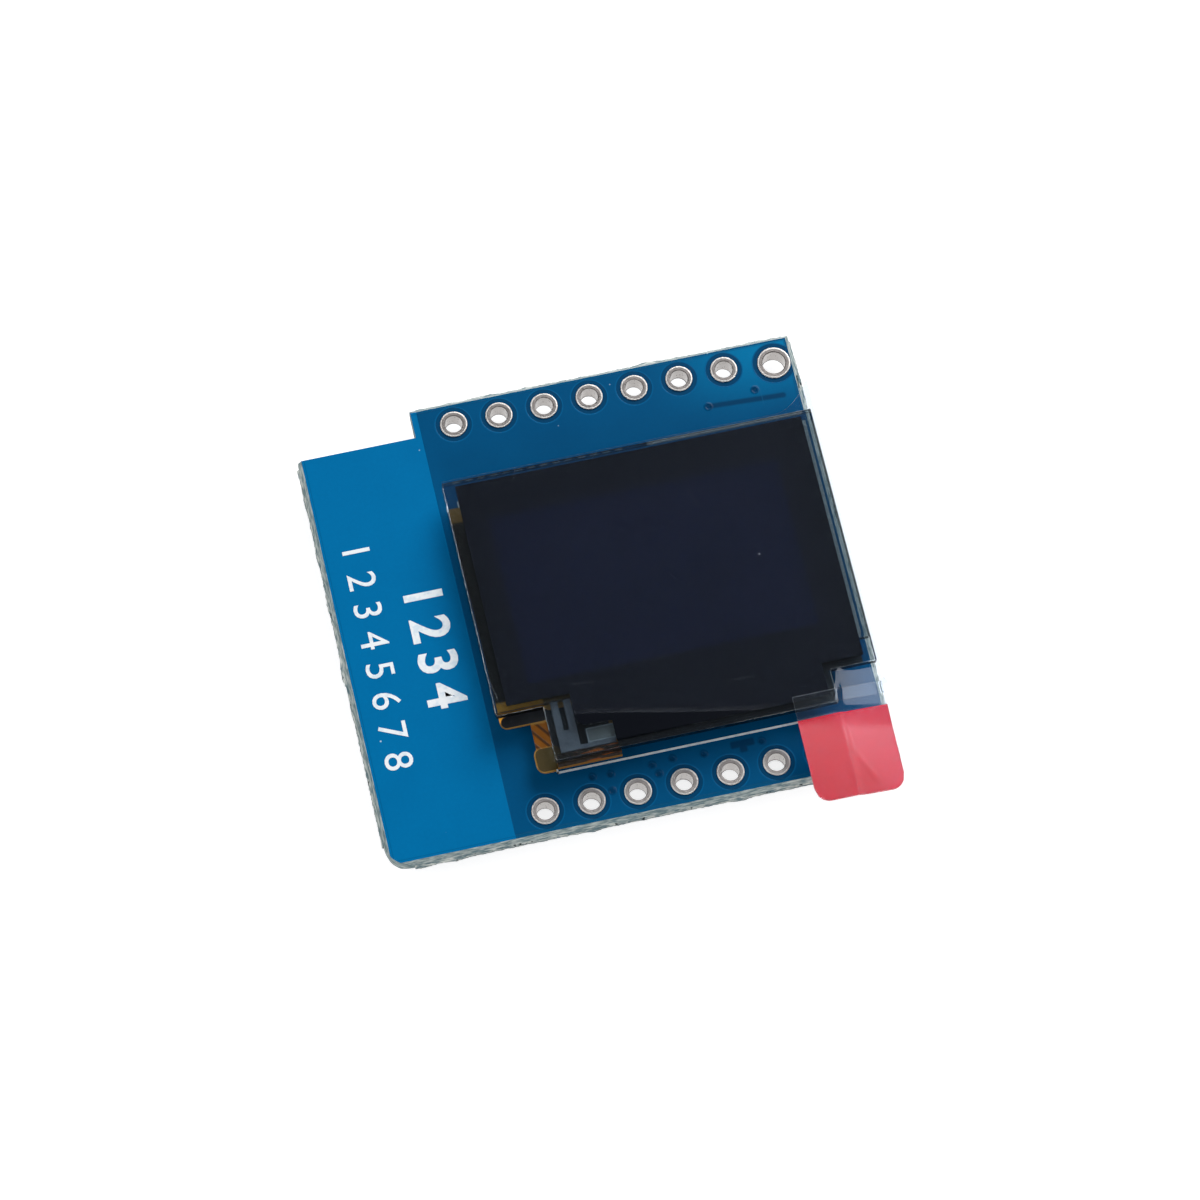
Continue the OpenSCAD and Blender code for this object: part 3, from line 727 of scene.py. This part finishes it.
# ------------------------
# Flex cable. Amber polyimide with etched copper tracks. It is bonded behind
# the ledge, folds back under the panel and is soldered to the board. A black
# cover layer stops just short of its edges.
rear_low, rear_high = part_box("rear_glass")
glass_low, glass_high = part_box("front_glass")
flex_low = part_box("flex_cable")[0]


def glass_steps():
    """Ends of the ledge, and heights of the glass's left and right shoulders."""
    places = [v.co for v in frame["nodes"]["front_glass"].data.vertices]
    hair = 0.01 * MM
    along = [place.x for place in places if place.y < glass_low.y + hair]
    left = min(place.y for place in places if place.x < glass_low.x + hair)
    right = min(place.y for place in places if place.x > glass_high.x - hair)
    return min(along), max(along), left, right


ledge_left, ledge_right, shoulder_y, right_shoulder_y = glass_steps()
flex_top = rear_low.z


def amber_finish():
    """Amber film, darker over the copper tracks that run inside it."""
    finish = Finish("amber_flex", {"Roughness": 0.35, "Specular IOR Level": 0.15})
    slope = finish.math("MULTIPLY_ADD", finish.y, 0.75, finish.x)
    tracks = finish.math("FRACT", finish.math("MULTIPLY", slope, 1.7))
    tracks = finish.both(finish.above(tracks, 0.5, 0.08),
                         finish.below(tracks, 0.82, 0.08))
    neck = finish.block(-0.2, 1.2, 3.15, 4.55)
    neck = finish.below(neck, 0, 0.08)
    band = finish.block(flex_low.x / MM - 1, 1.1, 5.0, 6.0)
    tail = finish.above(finish.y, 16.95, 0.1)
    bare = finish.either(finish.below(band, 0, 0.15), tail)
    cloud = finish.noise(1.3, 3)
    amber = finish.mix(cloud, paint(108, 60, 8), paint(134, 78, 14))
    copper = finish.mix(cloud, paint(58, 32, 10), paint(76, 44, 12))
    tan = finish.mix(cloud, paint(124, 92, 44), paint(158, 118, 56))
    dull = finish.mix(cloud, paint(30, 28, 24), paint(42, 38, 30))
    low = finish.below(finish.y, shoulder_y / MM + 0.6, 0.1)
    shade = finish.mix(finish.either(bare, low), dull, tan)
    # painted light: the band under the glass is painted far brighter than the amber
    # elsewhere, in place of the light that the panel keeps off it
    shade = finish.mix(finish.below(band, 0, 0.1), shade, paint(255, 176, 60))
    shade = finish.mix(neck, shade, finish.mix(tracks, amber, copper))
    outline = finish.below(finish.block(-2, ledge_left / MM, 0, 5), 0, 0.05)
    # The fold under the ledge is painted dark brown, painted shade, with orange painted
    # glints for highlights; its lowest part, below the ledge, is dull amber.
    fold = finish.math("SUBTRACT", 1, finish.either(outline, neck))
    fold = finish.both(fold, finish.below(finish.y, 2.62, 0.05))
    painted_glint = finish.above(finish.noise(2.4, 3, (0.3, 2, 1), 0.4), 0.58, 0.05)
    painted_glint = finish.both(painted_glint, finish.above(finish.x, 2.2, 0.3))
    fold_shade_and_light = finish.mix(painted_glint, paint(34, 25, 17), paint(128, 64, 14))
    fold_shade_and_light = finish.mix(finish.below(finish.z, 1.52, 0.06), fold_shade_and_light, paint(98, 66, 24))
    shade = finish.mix(fold, shade, fold_shade_and_light)
    edge = finish.below(finish.math("ABSOLUTE", finish.facing[2]), 0.5, 0.1)
    finish.colour(finish.mix(edge, shade, paint(132, 92, 34)))
    finish.relief(finish.math("MULTIPLY", tracks, 0.018))
    return finish


def cloudy_finish(name, settings, cloud, dark, light, bumps, depth):
    """Two colours in soft clouds, on a surface with low bumps of a depth in mm."""
    finish = Finish(name, settings)
    finish.colour(finish.mix(finish.noise(*cloud), dark, light))
    finish.bumps(depth, *bumps)
    return finish


def cover_finish(name, dark, light):
    """Thin printed cover layer, smooth and slightly cloudy."""
    return cloudy_finish(name, {"Roughness": 0.4, "Specular IOR Level": 0.25},
                         (2, 3), dark, light, (8,), 0.006)


dress("flex_cable", amber_finish())
cover_t = 0.015 * MM
cover_top = shoulder_y + 0.02 * MM
black = cover_finish("black_cover", paint(18, 19, 22), paint(32, 34, 38))
nose = slab("nose_cover",
            (flex_low.x + 0.07 * MM, shoulder_y - 0.44 * MM, flex_top - 0.005 * MM),
            (ledge_left + 0.3 * MM, cover_top + 0.16 * MM, flex_top + cover_t))
round_upright_edges(nose, 0.3 * MM)
body = slab("body_cover",
            (ledge_left + 0.06 * MM, glass_low.y + 0.5 * MM, flex_top - 0.004 * MM),
            (ledge_left + 3.3 * MM, cover_top, flex_top + cover_t * 0.9))
round_upright_edges(body, 0.1 * MM)
fit(join([nose, body], "flex_black_cover"), black, "flex")
foot = slab("flex_foot_cover",
            (ledge_left - 0.92 * MM, flex_low.y + 0.09 * MM, flex_top - 0.005 * MM),
            (ledge_left + 0.42 * MM, flex_low.y + 1.38 * MM, flex_top + cover_t))
round_upright_edges(foot, 0.34 * MM)
fit(foot, cover_finish("olive_cover", paint(56, 45, 15), paint(70, 57, 22)), "flex")


def solder_finish():
    """Lead-free solder: bright, slightly frosted."""
    finish = Finish("solder", {"Metallic": 1.0})
    frost = finish.noise(7, 3)
    finish.colour(finish.mix(frost, paint(168, 170, 174), paint(214, 216, 220)))
    finish.roughness(finish.range(frost, 0.22, 0.42))
    finish.relief(finish.math("MULTIPLY", frost, 0.012))
    return finish


# thin gold over nickel on the copper lands
gold = cloudy_finish("land_gold", {"Metallic": 1.0, "Roughness": 0.3}, (3, 2),
                     paint(202, 160, 84), paint(226, 188, 110), (12,), 0.004)
solder = solder_finish()
dress("flex_lands", gold)
dress("flex_solder", solder)


# ------------------------
# Display panel. Two sheets of scribed and snapped glass, the front one longer
# by a ledge that carries the driver chip, and a dark polarizer over them.
def see_through(finish, tint):
    """Lets lamps shine through a clear piece onto what is behind it."""
    rays = finish.nodes.new("ShaderNodeLightPath")
    clear = finish.nodes.new("ShaderNodeBsdfTransparent")
    clear.inputs[0].default_value = tint
    chosen = finish.nodes.new("ShaderNodeMixShader")
    finish.feed(chosen.inputs[0], rays.outputs["Is Shadow Ray"])
    finish.feed(chosen.inputs[1], finish.shader.outputs[0])
    finish.feed(chosen.inputs[2], clear.outputs[0])
    finish.feed(finish.nodes["Material Output"].inputs["Surface"], chosen.outputs[0])


def glass_finish(name, tint):
    """Clear glass, frosted by small chips where it was snapped."""
    finish = Finish(name, {"IOR": 1.5, "Transmission Weight": 1.0})
    side = finish.below(finish.math("ABSOLUTE", finish.facing[2]), 0.6, 0.1)
    chips = finish.noise(6, 3, (1, 1, 2))
    finish.colour(finish.mix(side, tint, paint(104, 122, 128)))
    finish.roughness(finish.range(side, 0.01, 0.16))
    finish.relief(finish.math("MULTIPLY", finish.both(chips, side), 0.01))
    see_through(finish, tint)
    return finish


def slice_at(piece, planes):
    """Cuts new edges into a piece where planes cross it."""
    pick(piece, "FACE", lambda centre, normal: False)
    for at, normal in planes:
        bpy.ops.mesh.select_all(action="SELECT")
        bpy.ops.mesh.bisect(plane_co=at, plane_no=normal)
    done()


def ease_edges(piece, width):
    pick(piece, "EDGE", lambda a, b: True)
    bpy.ops.mesh.bevel(offset=width, segments=1, affect="EDGES")
    done()


sheet_gap = 0.008 * MM
front_sheet = slab("front_sheet", (glass_low.x, shoulder_y, glass_low.z + sheet_gap),
                   (glass_high.x, glass_high.y, glass_high.z - sheet_gap))
slice_at(front_sheet, [((ledge_left, 0, 0), (1, 0, 0)),
                       ((ledge_right, 0, 0), (1, 0, 0))])
for limit, from_y, to_y in ((glass_high.x, shoulder_y, right_shoulder_y),
                            (ledge_right, right_shoulder_y, glass_low.y)):
    pick(front_sheet, "FACE", lambda centre, normal: normal.y < -0.9
         and ledge_left < centre.x < limit)
    bpy.ops.mesh.extrude_region_move(
        TRANSFORM_OT_translate={"value": (0, to_y - from_y, 0)})
    done()
ease_edges(front_sheet, 0.03 * MM)
face_out(front_sheet)
clear_glass = glass_finish("panel_glass", paint(214, 220, 223))
fit(front_sheet, clear_glass, "glass", "front_glass")
rear_sheet = slab("rear_sheet", (rear_low.x, rear_low.y, rear_low.z + sheet_gap),
                  (rear_high.x, rear_high.y, rear_high.z - sheet_gap))
ease_edges(rear_sheet, 0.03 * MM)
fit(rear_sheet, clear_glass, "glass", "rear_glass")


def track_finish():
    """Fine dark metal tracks on the back of the ledge."""
    finish = Finish("ledge_tracks", {"Roughness": 0.35})
    lines = finish.math("FRACT", finish.math("MULTIPLY", finish.y, 7))
    lines = finish.above(lines, 0.7, 0.12)
    finish.colour(finish.mix(lines, paint(15, 17, 21), paint(34, 38, 44)))
    finish.relief(finish.math("MULTIPLY", lines, 0.004))
    return finish


ledge_x1 = ledge_right - 0.05 * MM
track_low = glass_low.z - 0.004 * MM
track_high = glass_low.z + 0.004 * MM
edge_in = 0.04 * MM
tracks = [
    slab("tracks", (ledge_left + 3.5 * MM, glass_low.y + edge_in, track_low),
         (ledge_x1, glass_low.y + 0.8 * MM, track_high)),
    slab("tracks", (ledge_right - 0.9 * MM, glass_low.y + 0.8 * MM, track_low),
         (ledge_x1, right_shoulder_y + edge_in, track_high)),
    slab("tracks", (ledge_right - 0.9 * MM, right_shoulder_y + edge_in, track_low),
         (glass_high.x - 0.7 * MM, right_shoulder_y + 0.6 * MM, track_high)),
]
for strip_of_tracks in tracks:
    round_upright_edges(strip_of_tracks, 0.06 * MM, 3)
fit(join(tracks, "ledge_tracks"), track_finish(), "black_coat")


def polarizer_finish():
    """Dark polarizing film: a navy picture area inside a black border."""
    finish = Finish("polarizer", {"Roughness": 0.16, "IOR": 1.5,
                                  "Specular IOR Level": 0.35})
    picture = finish.block(0.5, 16.5, 6.5, 16.2)
    lit = finish.below(picture, 0, 0.05)
    cells = 1 / 0.25
    along = finish.math("FRACT", finish.math("MULTIPLY", finish.x, cells))
    across = finish.math("FRACT", finish.math("MULTIPLY", finish.y, cells))
    mesh = finish.either(finish.below(along, 0.18, 0.08),
                         finish.below(across, 0.18, 0.08))
    cloud = finish.noise(0.25, 3)
    navy = finish.mix(cloud, paint(7, 11, 26), paint(10, 15, 32))
    navy = finish.mix(finish.range(mesh, 0, 0.1), navy, paint(24, 30, 48))
    black = finish.mix(cloud, paint(7, 10, 17), paint(10, 13, 21))
    dust = finish.specks(0.7, 0.12, 0.03)
    shade = finish.mix(lit, black, navy)
    finish.colour(finish.mix(dust, shade, paint(150, 160, 170)))
    finish.bumps(0.002, 0.6, 2)
    return finish


dress("polarizer", polarizer_finish())


def chip_finish():
    """Bare silicon: grey, with a bright line round its edges, a painted highlight for the
    glint on its sawn end.
    """
    finish = Finish("silicon", {"Roughness": 0.25, "Metallic": 0.6})
    low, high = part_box("driver_chip")
    rim = finish.block(low.x / MM + 0.07, high.x / MM - 0.07,
                       low.y / MM + 0.07, high.y / MM - 0.07)
    # painted highlight: a bright line round the chip's edges
    edge_highlight = finish.above(rim, 0, 0.02)
    body = finish.mix(finish.noise(4, 2), paint(128, 130, 126), paint(148, 149, 144))
    finish.colour(finish.mix(edge_highlight, body, paint(176, 180, 182)))
    return finish


# grey resin, smooth and a little wavy
sealant = cloudy_finish("sealant", {"Roughness": 0.4}, (1.5, 3), paint(70, 73, 78),
                        paint(96, 99, 105), (3, 2), 0.03)
dress("chip_sealant", sealant)
dress("driver_chip", chip_finish())


# ------------------------
# Protective film. A clear sheet that clings to the glass. It bridges the step
# at the lower right, where the tape pulls it down into soft creases, and its
# upper right corner has come loose.
film_low, film_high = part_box("protective_film")
tape_low, tape_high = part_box("pull_tape")
grip_low, grip_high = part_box("pull_grip")


def rise(value, start, end):
    """Smooth step from 0 to 1 between two places."""
    share = min(1, max(0, (value - start) / (end - start)))
    return share * share * (3 - 2 * share)


def crease(x, y, start, end, width):
    """Height of a soft crease along a line, from 0 to 1."""
    run = Vector(end) - Vector(start)
    offset = Vector((x, y)) - Vector(start)
    share = min(1, max(0, offset.dot(run) / run.length_squared))
    gap = (offset - run * share).length
    fade = min(1, 4 * share + 0.2, 4 * (1 - share) + 0.2)
    return fade * math.exp(-(gap / width) ** 2)


def sag(x, y):
    """How far film and tape hang below the glass at a place, in millimetres."""
    top = right_shoulder_y / MM
    fold_x, fold_y, fold_lean = 16.45, 2.1, 0.24
    side_slope, end_slope = 0.12, 0.05
    across = max(0, x - fold_x - fold_lean * max(0, y - fold_y))
    loose = 1 - rise(y, top - 0.2, top)
    hang = side_slope * across + end_slope * min(2, max(0, top - y))
    hang *= loose * rise(across, 0, 0.15)
    end_x, end_lean, end_drop = 16.5, 0.2, 0.2
    fall = hang + end_drop * rise(fold_y + end_lean * (end_x - x) - y, 0, 1.6)
    fall -= 0.012 * crease(x, y, (17.1, 2.9), (18.9, 3.2), 0.12)
    return fall


def clear_film_finish(name, haze, milk, edge, luck, low, high, dull_below):
    """Clear plastic film, scratched and dusty, duller below one height."""
    finish = Finish(name, {"IOR": 1.46})
    marks = finish.scratches(luck, 12, low.xy / MM, high.xy / MM, 1.3, 0.008)
    dust = finish.specks(0.7, 0.1, 0.035)
    side = finish.below(finish.math("ABSOLUTE", finish.facing[2]), 0.6, 0.1)
    cloudy = finish.either(finish.range(marks, milk, 0.045),
                           finish.math("MULTIPLY", dust, 0.6))
    cloudy = finish.either(cloudy, finish.math("MULTIPLY", side, 0.6))
    # the cut edges take the given edge colour, dark on the film and pale on the tape:
    # painted shade and painted highlight for how light bends at a clear edge
    finish.colour(finish.mix(side, paint(236, 242, 248), edge))
    finish.feed(finish.shader.inputs["Transmission Weight"],
                finish.math("SUBTRACT", 1, cloudy))
    dull = finish.either(side, finish.below(finish.y, dull_below / MM, 0.3))
    dull = finish.either(dull, finish.math("MULTIPLY", marks, 0.35))
    finish.roughness(finish.range(dull, haze, haze + 0.3))
    finish.bumps(0.003, 0.5, 2)
    see_through(finish, paint(240, 244, 248))
    return finish


def thicken(piece, thickness):
    """Gives a net its thickness below its face."""
    wall = piece.modifiers.new("thickness", "SOLIDIFY")
    wall.thickness = thickness
    wall.offset = -1
    choose(piece)
    bpy.ops.object.modifier_apply(modifier="thickness")


film_t = film_high.z - film_low.z
lift = 0.012 * MM
film = grid("film", (film_low.x, glass_low.y, film_high.z + lift),
            (film_high.x, glass_high.y, 0), 110, 90)
slice_at(film, [((ledge_left, 0, 0), (1, 0, 0)), ((0, shoulder_y, 0), (0, 1, 0))])
pick(film, "FACE", lambda centre, normal: centre.x < ledge_left
     and centre.y < shoulder_y)
bpy.ops.mesh.delete(type="FACE")
done()
ear_start = film_high.x - 2.2 * MM
ear_reach = film_high.y - glass_high.y
ear_lift = 0.35 * MM
curl_y = 2.35
for vertex in film.data.vertices:
    x, y = vertex.co.x, vertex.co.y
    ear = max(0, (x - ear_start) / (film_high.x - ear_start))
    stretch = (y - shoulder_y) / (glass_high.y - shoulder_y)
    if stretch > 0:
        vertex.co.y += ear_reach * ear ** 2 * stretch ** 6
        vertex.co.z += ear_lift * ear ** 2 * rise(stretch, 0.86, 1.0)
    ripple = 0.008 * noise.noise(Vector((x, y, 0)) / MM * 0.3)
    vertex.co.z += ripple * MM - sag(x / MM, y / MM) * MM
    curl = rise(x / MM, 18.75, 19.15) * (1 - rise(abs(y / MM - curl_y), 0.15, 0.6))
    vertex.co.x += 0.1 * MM * curl
    vertex.co.z += 0.3 * MM * curl
thicken(film, film_t * 0.8)
face_out(film)
smooth(film, 60)
clear_film = clear_film_finish("clear_film", 0.04, 0, paint(52, 60, 66), 5,
                               film_low, film_high, grip_low.y)
fit(film, clear_film, "clear_film", "protective_film")


# ------------------------
# Pull tape and grip. Clear tape stuck to the film, with a red grip stuck
# under its free end. Both have round corners and a soft crease.
def tape_height(x, y):
    """Height of the top of the tape at a place on it, in metres."""
    end_drop = 0.35 * MM
    free = max(0, (glass_low.y - y) / (glass_low.y - grip_low.y))
    drop = sag(x / MM, y / MM) * MM + end_drop * free ** 2
    side = (x - grip_low.x) / (grip_high.x - grip_low.x)
    bend = crease(x / MM, y / MM, (16.3, -0.1), (17.6, -2.7), 0.12)
    wave = 0.03 * math.sin(3.1 * side + 1.9 * free) * free
    return tape_high.z + 0.02 * MM - drop + (wave + 0.03 * bend * free) * MM


def strip(name, top, bottom, offset, thickness, radius):
    """A length of tape between two places, shaped to the tape's curve."""
    piece = grid(name, (tape_low.x, bottom, 0), (tape_high.x, top, 0), 40,
                 int((top - bottom) / (0.12 * MM)))
    for vertex in piece.data.vertices:
        x, y = vertex.co.x, vertex.co.y
        in_x = max(0, min(x - tape_low.x, tape_high.x - x))
        if radius and in_x < radius:
            arc = radius - math.sqrt(radius ** 2 - (radius - in_x) ** 2)
            share = (top - y) / (top - bottom)
            y += arc * share ** 3
        vertex.co = (x, y, tape_height(x, y) + offset)
    thicken(piece, thickness)
    face_out(piece)
    smooth(piece, 60)
    return piece


def red_finish():
    """Red tape with fine scratches, painted paler towards its right side: a painted
    highlight.
    """
    finish = Finish("red_grip", {"IOR": 1.5, "Specular IOR Level": 0.06})
    cloud = finish.noise(0.5, 3)
    low, high = grip_low.xy / MM, grip_high.xy / MM
    marks = finish.scratches(3, 34, low, high, 1.0, 0.009)
    slope = finish.math("MULTIPLY_ADD", finish.y, 0.5, finish.x)
    # painted highlight: the grip is painted paler towards its right side, where the key
    # lamp's light falls
    pale = finish.above(slope, 16.5, 0.4)
    red = finish.mix(cloud, paint(188, 10, 34), paint(204, 16, 42))
    red = finish.mix(finish.range(pale, 0, 0.4), red, paint(222, 56, 80))
    finish.colour(finish.mix(finish.range(marks, 0, 0.4), red, paint(240, 130, 146)))
    finish.roughness(finish.range(marks, 0.5, 0.7))
    finish.relief(finish.math("MULTIPLY_ADD", marks, -0.006,
                              finish.math("MULTIPLY", finish.noise(0.8), 0.02)))
    return finish


tape_t = 0.045 * MM
grip_t = 0.08 * MM
grip_radius = 0.8 * MM
tape = strip("tape", tape_high.y, tape_low.y, 0, tape_t, grip_radius)
clear_tape = clear_film_finish("clear_tape", 0.06, 0.004, paint(226, 234, 240), 8,
                               tape_low, tape_high, grip_high.y)
fit(tape, clear_tape, "clear_film", "pull_tape")
glue_t = 0.012 * MM
grip = strip("grip", grip_high.y, grip_low.y, -tape_t - glue_t, grip_t,
             grip_radius)
fit(grip, red_finish(), "red_film", "pull_grip")


# ------------------------
# Chip parts behind the board. Fired ceramic blocks with tinned ends, soldered
# to gold lands. The resistors have a black coat with plain numerals.
def ceramic_finish():
    finish = Finish("tan_ceramic", {"Roughness": 0.6})
    speck = finish.specks(9, 0.4, 0.025)
    tan = finish.mix(finish.noise(2, 3), paint(150, 118, 82), paint(178, 144, 104))
    finish.colour(finish.mix(speck, tan, paint(116, 88, 60)))
    finish.bumps(0.01, 12, 2)
    return finish


def coat_finish():
    """White ceramic with a black glaze on its outer face."""
    finish = Finish("black_coat", {"Roughness": 0.3})
    glazed = finish.below(finish.facing[2], -0.7, 0.1)
    white = finish.mix(finish.noise(5, 2), paint(208, 206, 198), paint(232, 230, 224))
    black = finish.mix(finish.noise(4, 2), paint(20, 21, 23), paint(34, 35, 38))
    finish.colour(finish.mix(glazed, white, black))
    finish.bumps(0.006, 9, 2)
    return finish


ceramic = ceramic_finish()
coat = coat_finish()
part_tin = tin_finish("part_tin", 0.34)
capacitors, resistors = [
    [name for name in frame["nodes"] if name.startswith(word) and name[-1].isdigit()]
    for word in ("capacitor_", "resistor_")]
for name in capacitors:
    dress(name, ceramic)
for name in resistors:
    dress(name, coat)
for name, finish in (("capacitor_ends", part_tin), ("resistor_ends", part_tin),
                     ("chip_lands", gold), ("chip_solder", solder),
                     ("jumper_pads", gold), ("jumper_solder", solder)):
    dress(name, finish)

rear_z = board_low.z
rear_marks = []
for count, name in enumerate(sorted(capacitors + resistors)):
    low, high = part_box(name)
    middle = (low + high) / 2 / MM
    lying = (high.x - low.x) > (high.y - low.y)
    half_x, half_y = (1.4, 0.65) if lying else (0.65, 1.4)
    for sign in (-1, 1):
        if lying:
            sides = [(-half_x, sign * half_y), (half_x, sign * half_y)]
        else:
            sides = [(sign * half_x, -half_y), (sign * half_x, half_y)]
        ends = [(middle.x + x, middle.y + y) for x, y in sides]
        rear_marks.append(ink_line(*ends, line_w, rear_z, -1))
    label = (middle.x, middle.y + 1.3) if lying else (middle.x + 1.3, middle.y)
    rear_marks.append(numeral(str(count + 1), label, 0.8, 0, rear_z, -1, 0.01))
for holes, inward in ((upper_holes, -1.7), (lower_holes, 1.7)):
    for count, place in enumerate(holes):
        rear_marks.append(numeral(str(count + 1), (place.x, place.y + inward), 0.9,
                                  0, rear_z, -1, 0.01))
fit(join(rear_marks, "rear_print"), ink, "board")

values = []
for count, name in enumerate(resistors):
    low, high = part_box(name)
    middle = (low + high) / 2 / MM
    values.append(numeral(str(100 + count * 121), (middle.x, middle.y), 0.42, 0,
                          low.z, -1, 0.004))
fit(join(values, "resistor_numerals"), ink, "black_coat")


# ------------------------
# Floor, lamps and camera. A plain pale floor, a broad lamp on the right,
# weaker ones from the left and the front, and a small card-like lamp that
# the loose corner of the film mirrors.
def floor_finish():
    """Pale floor that shows white to the eye and keeps the shadow."""
    finish = Finish("floor", {"Base Color": (0.5, 0.5, 0.5, 1), "Roughness": 0.9})
    rays = finish.nodes.new("ShaderNodeLightPath")
    seen = finish.either(rays.outputs["Is Camera Ray"],
                         finish.either(rays.outputs["Is Glossy Ray"],
                                       rays.outputs["Is Transmission Ray"]))
    finish.shader.inputs["Emission Color"].default_value = (1, 1, 1, 1)
    finish.feed(finish.shader.inputs["Emission Strength"],
                finish.math("MULTIPLY", seen, 0.8))
    return finish


bpy.ops.object.select_all(action="DESELECT")
bpy.ops.mesh.primitive_plane_add(size=2, location=(0, 0, cad_box[0].z - 0.01 * MM))
floor = bpy.context.object
floor.name = "floor"
floor.data.materials.append(floor_finish().material)

world = bpy.data.worlds.new("room")
bpy.context.scene.world = world
world.use_nodes = True
world.node_tree.nodes["Background"].inputs[0].default_value = (0.86, 0.93, 1, 1)
world.node_tree.nodes["Background"].inputs[1].default_value = 0.07
middle = (board_low + board_high) / 2


def lamp(name, azimuth, elevation, distance, size, watts, colour=(1, 1, 1)):
    """A square lamp that faces the module."""
    light = bpy.data.lights.new(name, "AREA")
    light.size = size
    light.energy = watts
    light.color = colour
    holder = bpy.data.objects.new(name, light)
    bpy.context.scene.collection.objects.link(holder)
    flat = math.cos(math.radians(elevation))
    side = Vector((math.cos(math.radians(azimuth)) * flat,
                   math.sin(math.radians(azimuth)) * flat,
                   math.sin(math.radians(elevation))))
    holder.location = middle + side * distance
    holder.rotation_euler = side.to_track_quat("Z", "Y").to_euler()


lamp("key", 52, 38, 0.45, 0.3, 2.1)
lamp("fill", 190, 42, 0.5, 0.4, 1.05)
lamp("front_fill", 270, 30, 0.5, 0.3, 0.75)
lamp("card", 26.5, 63.5, 0.506, 0.13, 0.119, (0.9, 0.94, 1))

camera = bpy.data.objects.new("camera", bpy.data.cameras.new("camera"))
bpy.context.scene.collection.objects.link(camera)
camera.data.lens = 150
camera.data.sensor_width = 36
camera.data.clip_start = 0.01
camera.location = (-0.02155, -0.08101, 0.25429)
camera.rotation_euler = [math.radians(a) for a in (20.72, -1.31, -12.93)]
bpy.context.scene.camera = camera
bpy.context.scene.view_settings.view_transform = "Standard"
